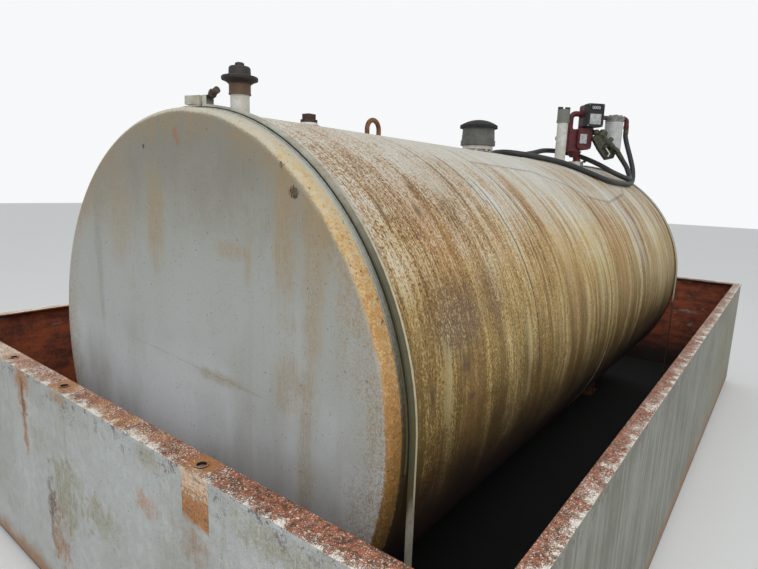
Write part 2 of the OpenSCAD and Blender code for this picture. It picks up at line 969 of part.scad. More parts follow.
module relief_cap() {
    cap_r = relief_cap_d / 2;
    seat_z = relief_top_z + seat_gap;
    dome_r = (cap_r * cap_r + relief_dome_h * relief_dome_h) / (2 * relief_dome_h);
    stem_bottom = relief_ring_z + 4;
    color([0.07, 0.07, 0.08])
        on_crest(relief_x) {
            // Flat plate that seats on the body, with the skirt around it
            translate([0, 0, seat_z])
                rod(cap_r, relief_cap_wall);
            difference() {
                translate([0, 0, seat_z - relief_skirt_h + relief_cap_wall])
                    rod(cap_r, relief_skirt_h - relief_cap_wall / 2);
                translate([0, 0, seat_z - relief_skirt_h])
                    rod(cap_r - relief_cap_wall, relief_skirt_h + relief_cap_wall / 2);
            }
            intersection() {
                translate([0, 0, seat_z + relief_cap_wall + relief_dome_h - dome_r])
                    sphere(dome_r, $fn = shell_fn);
                translate([0, 0, seat_z + relief_cap_wall / 2])
                    rod(cap_r, relief_dome_h + relief_cap_wall);
            }
            translate([0, 0, stem_bottom])
                rod(relief_stem_d / 2, seat_z - stem_bottom + relief_cap_wall / 2);
        }
}

// Fill pipe
module fill_pipe() {
    below = 30;
    color([0.74, 0.73, 0.68])
        on_crest(fill_x, fill_y)
            translate([0, 0, -below])
                difference() {
                    rod(fill_d / 2, below + fill_h + fill_cap_h * 0.8);
                    translate([0, 0, -over])
                        rod(fill_d / 2 - fill_wall, below + fill_h + fill_cap_h);
                }
}

module fill_cap() {
    cap_r = fill_cap_d / 2;
    pipe_top = fill_cap_h * 0.8 + seat_gap;
    lug_t = 12;
    band_h = 18;
    color([0.36, 0.36, 0.33])
        on_crest(fill_x, fill_y)
            translate([0, 0, fill_h]) {
                difference() {
                    union() {
                        rod(cap_r, band_h);
                        translate([0, 0, band_h])
                            rod(cap_r - 1.5, fill_cap_h - band_h);
                    }
                    translate([0, 0, -over])
                        rod(fill_d / 2 + seat_gap, pipe_top + over);
                }
                rotate(-pump_turn)
                    for (side = [-1, 1])
                        translate([side * (cap_r - fill_lug_l / 2), 0, fill_cap_h + fill_lug_h / 2 - 1])
                            cube([fill_lug_l, lug_t, fill_lug_h + 2], center = true);
            }
}

// Pump
module pump_bushing() {
    below = 26;
    color([0.66, 0.64, 0.60])
        on_crest(pump_x, pump_y)
            translate([0, 0, -below])
                difference() {
                    rod(bushing_d / 2, below + bushing_h);
                    translate([0, 0, -over])
                        rod(bushing_bore / 2, below + bushing_h + 2 * over);
                }
}

module pump_body() {
    neck_r = 23;
    neck_top_r = body_w / 2 - 4;
    plug_flats = 26;
    plug_h = 22;
    color([0.26, 0.09, 0.09])
        on_pump() {
            // Tapered neck that stands on the bushing
            translate([0, 0, neck_z + seat_gap])
                rod(bushing_d / 2, 12);
            translate([0, 0, neck_z + 10])
                cylinder(r1 = neck_r, r2 = neck_r + 8, h = 22);
            translate([body_x / 2, 0, neck_z + 30])
                cylinder(r1 = neck_r + 8, r2 = neck_top_r, h = body_z - neck_z - 28);
            // Column of the body
            translate([body_x, 0, body_z])
                linear_extrude(body_h - column_step)
                    rounded_square(body_w, body_deep - 24, chamber_corner);
            // Chamber with its rounded corners
            translate([chamber_x, front_y, chamber_z])
                upright_slab(chamber_w, chamber_h, chamber_corner, body_deep);
            // Round plug on the top
            translate([chamber_x - 26, -30, body_top - 10])
                hexagon(plug_flats, plug_h);
        }
}

module cover_screws(head_h) {
    off = chamber_corner / 2;
    for (sx = [-1, 1], sz = [-1, 1])
        translate([sx * (chamber_w / 2 - off), 0, sz * (chamber_h / 2 - off)])
            rotate([90, 0, 0])
                hexagon(12, head_h);
}

module pump_cover() {
    color([0.24, 0.08, 0.09])
        on_pump()
            translate([chamber_x, front_y - cover_t, chamber_z]) {
                upright_slab(chamber_w - 4, chamber_h - 4, chamber_corner - 2, cover_t);
                cover_screws(5);
                translate([label_x, -3, 0])
                    upright_slab(label_w + 12, label_h + 12, 6, 4);
            }
}

module pump_label() {
    color([0.70, 0.72, 0.72])
        on_pump()
            translate([chamber_x + label_x, front_y - cover_t - 4.5, chamber_z])
                upright_slab(label_w, label_h, 2, 1.5);
}

module pump_motor() {
    end_cap = 16;
    ribs = 3;
    color([0.14, 0.12, 0.12])
        on_pump() {
            translate([-13, body_deep / 2, motor_z])
                along_y() {
                    rod(motor_d / 2, motor_l - end_cap);
                    translate([0, 0, motor_l - end_cap])
                        cylinder(r1 = motor_d / 2, r2 = motor_d / 2 - 14, h = end_cap);
                    for (i = [1:ribs])
                        translate([0, 0, i * (motor_l - end_cap) / (ribs + 1)])
                            rod(motor_d / 2 + 3, 4);
                }
            // Round cap on the side of the motor
            translate([-13, body_deep / 2 + motor_l * 0.6, motor_z + 4])
                rotate([0, -90, 0]) {
                    rod(motor_knob_d / 2, motor_d / 2 + motor_knob_h - 12);
                    translate([0, 0, motor_d / 2 + motor_knob_h - 12])
                        cylinder(d1 = motor_knob_d, d2 = motor_knob_d * 0.5, h = 12);
                }
        }
}

module outlet_elbow() {
    bend = outlet_d / 2 + 14;
    flange_t = 10;
    meter_face = meter_x - meter_w / 2;
    color([0.30, 0.08, 0.07])
        on_pump()
            translate([outlet_x, meter_y, 0]) {
                translate([0, 0, body_top - column_step + seat_gap]) {
                    rod(outlet_d / 2 - 4, outlet_rise - bend + column_step);
                    rod(outlet_d / 2 - 1, flange_t);
                }
                translate([bend, 0, outlet_z - bend])
                    rotate([90, 0, 180])
                        rotate_extrude(angle = 90)
                            translate([bend, 0])
                                circle(outlet_d / 2 - 4);
                translate([bend, 0, outlet_z])
                    along_x()
                        rod(outlet_d / 2 - 4, meter_face - outlet_x - bend);
                translate([meter_face - outlet_x - flange_t, 0, outlet_z])
                    along_x()
                        rod(outlet_d / 2 + 4, flange_t);
            }
}

// Meter and filter
module meter_body() {
    step = 14;
    color([0.27, 0.09, 0.09])
        on_pump() {
            translate([meter_x, meter_y - meter_deep / 2, meter_z]) {
                upright_slab(meter_w, meter_h, 16, meter_deep);
                translate([0, meter_deep - over, 0])
                    upright_slab(meter_w - 2 * step, meter_h - 2 * step, 16, step);
            }
            // Foot that stands on the pump's top
            translate([chamber_x + 16, meter_y, body_top + seat_gap])
                rod(24, meter_lift + 4);
            // Pipe to the filter
            translate([meter_x + meter_w / 2 - 2, link_y, link_z])
                along_x()
                    rod(link_d / 2, filter_reach + 2);
            translate([meter_x + meter_w / 2 - 2, link_y, link_z])
                along_x()
                    hexagon(link_d * 1.35, 18);
        }
}

module meter_register() {
    face_y = meter_y - meter_deep / 2 - register_deep;
    window_z = meter_h / 2 - 14 - window_h / 2;
    plate_w = meter_w - 34;
    plate_h = meter_h * 0.48;
    color([0.05, 0.05, 0.06])
        on_pump()
            translate([meter_x, face_y, meter_z])
                difference() {
                    upright_slab(meter_w, meter_h, 5, register_deep);
                    translate([0, -over, window_z])
                        upright_slab(window_w, window_h, 2, window_deep + over);
                    translate([0, -over, -meter_h / 2 + 14 + plate_h / 2])
                        upright_slab(plate_w, plate_h, 2, 1.5 + over);
                }
}

module filter_head() {
    port_l = 12;
    color([0.52, 0.52, 0.50])
        on_pump()
            translate([filter_x, link_y, filter_head_z]) {
                rod(filter_head_d / 2, filter_head_h - 10);
                translate([0, 0, filter_head_h - 10])
                    cylinder(d1 = filter_head_d, d2 = filter_head_d - 26, h = 10);
                translate([0, 0, filter_head_h])
                    hexagon(26, 8);
                translate([0, 0, link_z - filter_head_z])
                    along_x()
                        translate([0, 0, filter_head_d / 2 - 4])
                            rod(link_d / 2 + 2, port_l);
            }
}

module filter_canister() {
    foot_r = 14;
    color([0.80, 0.80, 0.78])
        on_pump()
            translate([filter_x, link_y, filter_head_z - seat_gap - filter_h]) {
                translate([0, 0, foot_r])
                    rod(filter_d / 2, filter_h - foot_r);
                rod(filter_d / 2 - foot_r, foot_r);
                translate([0, 0, foot_r])
                    rotate_extrude()
                        translate([filter_d / 2 - foot_r, 0])
                            circle(foot_r);
            }
}

module hose_elbow() {
    port_l = 8;
    bend = hose_reach - port_l - 2;
    pipe_r = link_d / 2 + 1;
    start = filter_x + filter_head_d / 2 + port_l;
    color([0.20, 0.17, 0.15])
        on_pump() {
            translate([start, link_y, link_z])
                along_x()
                    rod(pipe_r + 3, hose_x - bend - start);
            translate([hose_x - bend, link_y, link_z - bend])
                rotate([90, 0, 0])
                    rotate_extrude(angle = 90)
                        translate([bend, 0])
                            circle(pipe_r);
            translate([hose_x, link_y, hose_top_z + coupling_h])
                rod(pipe_r, link_z - bend - hose_top_z - coupling_h);
            translate([hose_x, link_y, hose_top_z])
                hexagon(hose_d + 4, coupling_h + 8);
            translate([hose_x, link_y, hose_top_z + coupling_h + 8])
                rod(hose_d / 2, 8);
        }
}

// Nozzle in its holster
module nozzle_holster() {
    socket_r = spout_d / 2 + 3;
    outer = socket_r + holster_wall;
    wall_x = chamber_x + chamber_w / 2;
    centre = [wall_x + outer, nozzle_place[2] - 8];
    color([0.06, 0.06, 0.06])
        on_pump()
            difference() {
                union() {
                    translate([centre[0], -40, centre[1]])
                        along_y()
                            rod(outer, holster_deep);
                    block([wall_x + seat_gap, -40, centre[1] - outer - 12],
                          [centre[0], holster_deep - 40, centre[1] + outer + 8]);
                }
                translate([centre[0], -40 - over, centre[1]])
                    along_y()
                        rod(socket_r, holster_deep + 2 * over);
            }
}

module nozzle_body() {
    socket_r = spout_d / 2 + 3;
    spout_x = chamber_x + chamber_w / 2 + socket_r + holster_wall;
    ear_t = 5;
    ear_r = 10;
    ear_y = lever_w / 2 + 1;
    color([0.19, 0.18, 0.14])
        union() {
            // Spout that runs back through the holster
            on_pump()
                translate([spout_x, nozzle_place[1], nozzle_place[2] - 8])
                    along_y()
                        rod(spout_d / 2, spout_l);
            // Swivel and ferrule that hold the hose
            on_crest(tank_l)
                translate(hose_end)
                    turned_along(hose_end_side) {
                        rod(hose_d / 2 + 2, ferrule_l);
                        translate([0, 0, ferrule_l])
                            sphere(hose_d / 2 + 2);
                    }
            on_nozzle() {
                translate([22, 0, 0])
                    sphere(barrel_d / 2 + 3);
                translate([22, 0, 0])
                    along_x()
                        rod(barrel_d / 2 - 1, 20);
                translate([38, 0, 0])
                    along_x()
                        rod(barrel_d / 2 + 3, 150);
                translate([187, 0, 0])
                    along_x()
                        rod(barrel_d / 2 - 2, 32);
                translate([217, 0, 0])
                    along_x()
                        hexagon(barrel_d - 2, 24);
                // Valve chamber and its cap
                translate([66, 0, 0])
                    rod(30, 38);
                translate([66, 0, 37])
                    rod(22, 9);
                translate([143, 0, 0])
                    rod(17, 42);
                // Ears that hold the lever's pin
                for (side = [-1, 1])
                    difference() {
                        union() {
                            translate([lever_pin[0], side * (ear_y + ear_t / 2), lever_pin[1]])
                                rotate([90, 0, 0])
                                    cylinder(r = ear_r, h = ear_t, center = true);
                            translate([lever_pin[0], side * (ear_y + ear_t / 2), lever_pin[1] / 2])
                                cube([2 * ear_r, ear_t, -lever_pin[1]], center = true);
                        }
                        translate([lever_pin[0], 0, lever_pin[1]])
                            rotate([90, 0, 0])
                                cylinder(r = pin_d / 2, h = 60, center = true);
                    }
                translate([lever_pin[0], 0, lever_pin[1]])
                    rotate([90, 0, 0])
                        cylinder(r = pin_d / 2, h = 2 * (ear_y + ear_t), center = true);
            }
        }
}

// Outline of the hand guard, as seen from the pump's front
function guard_outline() = [[30, -12], [20, -52], [112, -84], [204, -104], [240, -62], [228, -12]];

module guard_shape(inset) {
    p = guard_outline();
    // The pocket that the lever swings in begins where the casting ends
    from_x = p[2][0] + inset;
    q = [[from_x, 0], [from_x, p[2][1] + inset], p[3] + [-inset, inset], p[4] + [-inset, 0], p[5]];
    polygon(inset > 0 ? q : p);
}

module nozzle_guard() {
    front = -guard_deep / 2;
    color([0.17, 0.16, 0.13])
        on_nozzle()
            difference() {
                translate([0, -front, 0])
                    rotate([90, 0, 0])
                        linear_extrude(guard_deep)
                            guard_shape(0);
                translate([0, -front - guard_back, 0])
                    rotate([90, 0, 0])
                        linear_extrude(guard_deep)
                            guard_shape(guard_wall);
                along_x()
                    translate([0, 0, -over])
                        rod(barrel_d / 2 + 3 + seat_gap, 300);
            }
}

// Flat bar that runs out along x and then turns down
module bent_bar(out, turn, down, t) {
    half = t / 2;
    side = [sin(turn), cos(turn)];
    corner = half / cos(turn / 2) * [sin(turn / 2), cos(turn / 2)];
    knee = [out, 0];
    foot = knee + down * [cos(turn), -sin(turn)];
    polygon([[0, half], knee + corner, foot + half * side, foot - half * side, knee - corner, [0, -half]]);
}

module nozzle_lever() {
    eye_r = 8;
    arm = 64;
    tip = 26;
    tip_turn = 70;
    color([0.72, 0.72, 0.70])
        on_nozzle()
            translate([lever_pin[0], lever_w / 2, lever_pin[1]])
                rotate([90, 0, 0])
                    linear_extrude(lever_w)
                        difference() {
                            union() {
                                circle(eye_r);
                                rotate(-lever_swing)
                                    bent_bar(arm, tip_turn, tip, lever_t);
                            }
                            circle(pin_d / 2 + pin_gap);
                        }
}

module swept_tube(p, r, sides) {
    start = unit(cross(heading(p, 0), [1, 0, 0]));
    side = carried(p, 0, start);
    points = [for (i = [0:len(p) - 1], k = [0:sides - 1])
        let (a = k * 360 / sides, s = side[i], u = cross(heading(p, i), s))
            p[i] + r * (cos(a) * s + sin(a) * u)];
    walls = [for (i = [0:len(p) - 2], k = [0:sides - 1])
        let (n = (k + 1) % sides)
            [i * sides + k, (i + 1) * sides + k, (i + 1) * sides + n, i * sides + n]];
    first = [for (k = [0:sides - 1]) k];
    last = [for (k = [0:sides - 1]) len(p) * sides - 1 - k];
    polyhedron(points = points, faces = concat([first, last], walls), convexity = 10);
}

module fuel_hose() {
    color([0.05, 0.05, 0.05])
        on_crest(tank_l)
            swept_tube(hose_points, hose_d / 2, hose_sides);
}

dike_floor();
runners();
near_wall();
far_wall();
left_wall();
right_wall();
near_saddle();
far_saddle();
near_shell();
far_shell();
near_head();
far_head();
near_liner();
far_liner();
near_strap();
far_strap();
near_tensioner();
far_tensioner();
vent_pipe();
vent_cap();
plug_boss();
square_plug();
lifting_ring();
relief_base();
relief_body();
relief_cap();
fill_pipe();
fill_cap();
pump_bushing();
pump_body();
pump_cover();
pump_label();
pump_motor();
outlet_elbow();
meter_body();
meter_register();
filter_head();
filter_canister();
hose_elbow();
nozzle_holster();
nozzle_body();
nozzle_guard();
nozzle_lever();
fuel_hose();
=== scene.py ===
import bmesh
import bpy
import math
import random
from mathutils import Matrix, Vector, noise


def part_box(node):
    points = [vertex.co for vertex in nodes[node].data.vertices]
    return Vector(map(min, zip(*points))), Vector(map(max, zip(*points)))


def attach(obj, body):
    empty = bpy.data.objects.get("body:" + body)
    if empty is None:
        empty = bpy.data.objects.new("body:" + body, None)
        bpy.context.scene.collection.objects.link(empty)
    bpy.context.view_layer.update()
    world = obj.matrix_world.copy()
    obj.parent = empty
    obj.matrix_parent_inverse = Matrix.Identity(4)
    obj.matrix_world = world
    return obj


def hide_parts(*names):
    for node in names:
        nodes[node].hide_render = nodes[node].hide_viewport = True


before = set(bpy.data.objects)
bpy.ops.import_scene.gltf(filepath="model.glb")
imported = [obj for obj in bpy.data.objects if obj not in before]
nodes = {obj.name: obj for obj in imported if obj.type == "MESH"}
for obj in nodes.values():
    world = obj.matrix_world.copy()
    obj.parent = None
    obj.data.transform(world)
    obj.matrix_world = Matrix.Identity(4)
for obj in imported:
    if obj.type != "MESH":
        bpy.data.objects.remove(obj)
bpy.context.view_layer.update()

random.seed(7)
print("frame loaded:", len(nodes), "parts")

# Places that everything else is measured from, all read from the frame
headLow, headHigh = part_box("near_head")
farHeadLow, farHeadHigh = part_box("far_head")
dikeLow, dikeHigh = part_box("near_wall")
tankRadius = (headHigh[2] - headLow[2]) / 2
axisY = (headHigh[1] + headLow[1]) / 2
axisZ = (headHigh[2] + headLow[2]) / 2
crestZ = axisZ + tankRadius
nearFace = headLow[0]
farFace = farHeadHigh[0]
nearWeld = headHigh[0]
farWeld = farHeadLow[0]
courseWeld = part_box("near_shell")[1][0]


def strapEdges(liner):
    # the liner stands 3 mm out of its strap on both sides
    low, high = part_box(liner)
    return low[0] + 0.003, high[0] - 0.003


rimHoles = [(dikeLow[0] + 0.037, across) for across in (-0.595, 0.165, 0.595)]
nearStrap = strapEdges("near_liner")
farStrap = strapEdges("far_liner")
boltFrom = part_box("near_tensioner")[0][1] + 0.040
strapOut = tankRadius + 0.0145

# Camera: place, aim and lens, at eye height beside the near corner
camera = {"place": (-2.8996, -1.6455, 1.4959), "yaw": 37.45, "pitch": -10.46, "roll": 1.96, "lens": 25.36}


def setCamera():
    yaw, pitch, roll = (math.radians(camera[key]) for key in ("yaw", "pitch", "roll"))
    ahead = Vector((math.cos(pitch) * math.cos(yaw), math.cos(pitch) * math.sin(yaw), math.sin(pitch)))
    right = Vector((math.sin(yaw), -math.cos(yaw), 0))
    up = right.cross(ahead)
    across = math.cos(roll) * right + math.sin(roll) * up
    upward = -math.sin(roll) * right + math.cos(roll) * up
    data = bpy.data.cameras.new("camera")
    data.lens = camera["lens"]
    data.sensor_width = 36
    data.clip_start = 0.05
    data.clip_end = 200
    eye = bpy.data.objects.new("camera", data)
    turn = Matrix((across, upward, -ahead)).transposed().to_4x4()
    eye.matrix_world = Matrix.Translation(camera["place"]) @ turn
    bpy.context.scene.collection.objects.link(eye)
    bpy.context.scene.camera = eye


setCamera()
print("camera set")

# Route of the hose, in millimetres from the crest over the far head's face
hose = {
    "diameter": 0.034,
    "crest": 0.813,  # the crest's height over the tank's axis
    "steps": 6,
    "route": [
        (-135, -374, 272), (-135, -374, 242), (-135, -375, 217), (-134, -392, 157), (-134, -424, 67),
        (-137, -448, -7), (-157, -463, -68), (-215, -474, -113), (-315, -479, -131), (-520, -474, -130),
        (-720, -464, -123), (-860, -434, -104), (-960, -388, -78), (-1040, -325, -48), (-1133, -262, -23),
        (-1240, -210, -8), (-1335, -174, 0), (-1410, -122, 9), (-1444, -36, 18), (-1416, 54, 17),
        (-1336, 106, 11), (-1180, 122, 11), (-1000, 104, 27), (-800, 70, 57), (-660, 52, 83), (-550, 48, 93),
        (-450, 36, 97), (-370, -5, 91), (-324, -75, 77), (-316, -160, 47), (-338, -240, 15), (-370, -310, -17),
        (-394, -370, -47), (-392, -424, -72), (-364, -460, -89), (-316, -474, -95), (-268, -468, -85),
        (-236, -450, -53), (-230, -428, -7), (-242, -402, 35), (-261, -378, 76),
    ],
}


def smoothRoute(points, steps):
    # the same smooth curve through the points as the solid hose has
    ends = [2 * points[0] - points[1]] + points + [2 * points[-1] - points[-2]]
    curve = []
    for i in range(1, len(ends) - 2):
        a, b, c, d = ends[i - 1:i + 3]
        for k in range(steps):
            t = k / steps
            curve.append(0.5 * (2 * b + (c - a) * t + (2 * a - 5 * b + 4 * c - d) * t * t
                                + (3 * b - a - 3 * c + d) * t ** 3))
    return curve + [points[-1]]


def routeLength(points):
    return sum((b - a).length for a, b in zip(points, points[1:]))


def keep(piece, body="tank"):
    if piece.name not in bpy.context.scene.collection.objects:
        bpy.context.scene.collection.objects.link(piece)
    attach(piece, body)
    return piece


def makeMesh(name, points, faces, smooth=True):
    mesh = bpy.data.meshes.new(name)
    mesh.from_pydata([tuple(p) for p in points], [], faces)
    mesh.update()
    if smooth:
        mesh.shade_smooth()
    return bpy.data.objects.new(name, mesh)


def sweep(name, points, radii, sides=20, capped=True):
    # round bar along a list of points, with one radius a point
    side = (points[1] - points[0]).orthogonal().normalized()
    verts, faces = [], []
    for i, point in enumerate(points):
        ahead = (points[min(i + 1, len(points) - 1)] - points[max(i - 1, 0)]).normalized()
        side = (side - side.dot(ahead) * ahead).normalized()
        over = ahead.cross(side)
        radius = radii[i] if isinstance(radii, list) else radii
        for k in range(sides):
            a = 2 * math.pi * k / sides
            verts.append(point + radius * (math.cos(a) * side + math.sin(a) * over))
    for i in range(len(points) - 1):
        for k in range(sides):
            n = (k + 1) % sides
            faces.append((i * sides + k, i * sides + n, (i + 1) * sides + n, (i + 1) * sides + k))
    if capped:
        faces.append(tuple(range(sides - 1, -1, -1)))
        faces.append(tuple((len(points) - 1) * sides + k for k in range(sides)))
    return makeMesh(name, verts, faces)


def layHose():
    origin = Vector((farFace, axisY, axisZ + hose["crest"]))
    route = [origin + Vector(p) / 1000 for p in hose["route"]]
    curve = smoothRoute(route, hose["steps"])
    piece = keep(sweep("hose", curve, hose["diameter"] / 2, 24), "tank")
    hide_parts("fuel_hose")
    print("hose laid, metres:", round(routeLength(curve), 3))
    return piece, curve


hosePiece, hoseCurve = layHose()


# Colours are written as a screen shows them, 0 to 255
def tone(red, green, blue):
    return tuple((c / 255 / 12.92 if c < 10.3 else ((c / 255 + 0.055) / 1.055) ** 2.4)
                 for c in (red, green, blue)) + (1.0,)


def tones(**colours):
    return {name: tone(*colour) for name, colour in colours.items()}


class Finish:
    # one material, and the few node steps that every finish here is made of
    def __init__(self, name, metallic=0.0, roughness=0.6):
        self.material = bpy.data.materials.new(name)
        self.material.use_nodes = True
        self.tree = self.material.node_tree
        self.shader = self.tree.nodes["Principled BSDF"]
        self.shader.inputs["Metallic"].default_value = metallic
        self.shader.inputs["Roughness"].default_value = roughness
        self.place = self.add("ShaderNodeTexCoord").outputs["Object"]
        self.facing = self.add("ShaderNodeNewGeometry").outputs["Normal"]
        self.x, self.y, self.z = self.split(self.place)

    def add(self, kind, **settings):
        node = self.tree.nodes.new(kind)
        for key, value in settings.items():
            setattr(node, key, value)
        return node

    def feed(self, socket, value):
        if isinstance(value, bpy.types.NodeSocket):
            self.tree.links.new(value, socket)
        else:
            socket.default_value = value

    def split(self, vector):
        node = self.add("ShaderNodeSeparateXYZ")
        self.feed(node.inputs[0], vector)
        return node.outputs[0], node.outputs[1], node.outputs[2]

    def join(self, x, y, z=0.0):
        node = self.add("ShaderNodeCombineXYZ")
        for socket, value in zip(node.inputs, (x, y, z)):
            self.feed(socket, value)
        return node.outputs[0]

    def calc(self, operation, a, b=0.0):
        node = self.add("ShaderNodeMath", operation=operation)
        self.feed(node.inputs[0], a)
        self.feed(node.inputs[1], b)
        return node.outputs[0]

    def times(self, *values):
        product = values[0]
        for value in values[1:]:
            product = self.calc("MULTIPLY", product, value)
        return product

    def plus(self, *values):
        total = values[0]
        for value in values[1:]:
            total = self.calc("ADD", total, value)
        return total

    def sway(self, value, amount):
        # a noise brought to both sides of 0 and made this strong
        return self.times(self.plus(value, -0.5), amount)

    def fade(self, value, low, high):
        # 0 at low, 1 at high, smooth between them; low may be the larger
        node = self.add("ShaderNodeMapRange", interpolation_type="SMOOTHSTEP")
        self.feed(node.inputs["Value"], value)
        if low > high:
            self.feed(node.inputs["From Min"], high)
            self.feed(node.inputs["From Max"], low)
            self.feed(node.inputs["To Min"], 1.0)
            self.feed(node.inputs["To Max"], 0.0)
        else:
            self.feed(node.inputs["From Min"], low)
            self.feed(node.inputs["From Max"], high)
        return node.outputs[0]

    def band(self, value, middle, half, soft):
        away = self.calc("ABSOLUTE", self.calc("SUBTRACT", value, middle))
        return self.fade(away, half + soft, half)

    def spot(self, across, along, centre, half, rough=0.0):
        # soft oval: 1 inside, 0 outside, with its edge made ragged by rough
        a = self.calc("DIVIDE", self.calc("SUBTRACT", across, centre[0]), half[0])
        b = self.calc("DIVIDE", self.calc("SUBTRACT", along, centre[1]), half[1])
        away = self.calc("SQRT", self.plus(self.times(a, a), self.times(b, b)))
        return self.fade(self.plus(away, rough), 1.45, 0.55)

    def grain(self, scale, detail=4.0, rough=0.6, where=None, stretch=None, warp=0.0):
        node = self.add("ShaderNodeTexNoise")
        spot = self.place if where is None else where
        if stretch:
            mapping = self.add("ShaderNodeMapping")
            self.feed(mapping.inputs["Vector"], spot)
            self.feed(mapping.inputs["Scale"], stretch)
            spot = mapping.outputs[0]
        self.feed(node.inputs["Vector"], spot)
        self.feed(node.inputs["Scale"], scale)
        self.feed(node.inputs["Detail"], detail)
        self.feed(node.inputs["Roughness"], rough)
        self.feed(node.inputs["Distortion"], warp)
        return node.outputs[0]

    def mix(self, factor, a, b):
        node = self.add("ShaderNodeMix", data_type="RGBA")
        self.feed(node.inputs[0], factor)
        self.feed(node.inputs[6], a)
        self.feed(node.inputs[7], b)
        return node.outputs[2]

    def ramp(self, value, stops):
        # colours along a value from 0 to 1: pairs of place and colour
        node = self.add("ShaderNodeValToRGB")
        self.feed(node.inputs[0], value)
        marks = node.color_ramp.elements
        while len(marks) < len(stops):
            marks.new(0.5)
        for mark, (place, colour) in zip(marks, stops):
            mark.position = place
            mark.color = colour
        return node.outputs[0]

    def aroundTank(self):
        # metres along the tank, and metres round it from its crest, less than 0 toward the viewer
        across = self.calc("SUBTRACT", self.y, axisY)
        upward = self.calc("SUBTRACT", self.z, axisZ)
        turn = self.calc("ARCTAN2", across, upward)
        return self.calc("MULTIPLY", turn, tankRadius)

    def fromAxis(self):
        across = self.calc("SUBTRACT", self.y, axisY)
        upward = self.calc("SUBTRACT", self.z, axisZ)
        return self.calc("SQRT", self.plus(self.times(across, across), self.times(upward, upward)))

    def done(self, colour, roughness=None, height=None, depth=0.001):
        self.feed(self.shader.inputs["Base Color"], colour)
        if roughness is not None:
            self.feed(self.shader.inputs["Roughness"], roughness)
        if height is not None:
            bump = self.add("ShaderNodeBump")
            self.feed(bump.inputs["Height"], height)
            bump.inputs["Distance"].default_value = depth
            bump.inputs["Strength"].default_value = 1.0
            self.feed(self.shader.inputs["Normal"], bump.outputs[0])
        return self.material


# Weathered paint of the shell. Places are metres along the tank and metres round it from its crest
shellTones = tones(
    chalk=(196, 197, 190), pale=(191, 187, 174), tan=(173, 150, 118), ochre=(142, 104, 58), brown=(98, 72, 44),
    orange=(160, 114, 58), olive=(104, 84, 34), mauve=(98, 76, 58), umber=(40, 25, 18), line=(56, 44, 34),
    lowPale=(206, 190, 140), lowTan=(186, 154, 86), lowOchre=(148, 108, 42), lowBrown=(76, 54, 28),
)

shellStains = [
    (-1.60, 0.77, 0.12, 0.20, "orange", 0.60), (-1.66, 1.00, 0.15, 0.10, "mauve", 1.10),
    (-1.42, 0.98, 0.07, 0.10, "mauve", 0.80), (-1.60, 1.26, 0.06, 0.17, "ochre", 0.65),
    (-1.85, 1.22, 0.06, 0.20, "olive", 0.60), (-1.74, 1.19, 0.03, 0.14, "lowPale", 0.45),
    (-1.42, 0.55, 0.07, 0.20, "pale", 0.45), (-1.27, 0.85, 0.03, 0.12, "orange", 0.50),
    (-1.20, 1.18, 0.03, 0.20, "lowPale", 0.50), (-0.70, 0.80, 0.05, 0.17, "orange", 0.45),
    (-0.71, 1.10, 0.05, 0.17, "ochre", 0.80), (-0.55, 1.24, 0.03, 0.17, "lowPale", 0.60),
    (0.09, 0.95, 0.08, 0.36, "orange", 0.50), (0.55, 0.85, 0.12, 0.25, "chalk", 0.40),
    (1.15, 1.00, 0.50, 0.45, "lowPale", 0.40), (-1.10, 0.30, 0.40, 0.16, "pale", 0.50),
]

shellScars = [
    (-1.785, 0.675, 0.008, 0.035), (-1.570, 0.590, 0.007, 0.018), (-1.620, 0.680, 0.014, 0.020),
    (-1.640, 1.140, 0.018, 0.030), (-1.820, 1.180, 0.010, 0.035), (-1.610, 1.235, 0.016, 0.010),
    (-1.840, 0.420, 0.008, 0.010), (0.420, 1.160, 0.010, 0.030),
]

# long thin marks that run round the tank: place along it, middle and half length round it
shellLines = [(-1.12, 0.93, 0.36), (-1.17, 0.52, 0.12), (-1.31, 0.45, 0.20), (-0.93, 0.60, 0.30), (0.90, 0.95, 0.35),
              (1.22, 0.80, 0.45)]

# where the hose rubs the paint: shares of the way from first to last, and metres below the crest there
hoseRub = {"first": -0.90, "last": 1.10, "path": [(0.0, 0.40), (0.27, 0.43), (0.41, 0.53), (0.49, 0.62), (0.65, 0.66),
                                                  (0.90, 0.59), (1.0, 0.50)]}


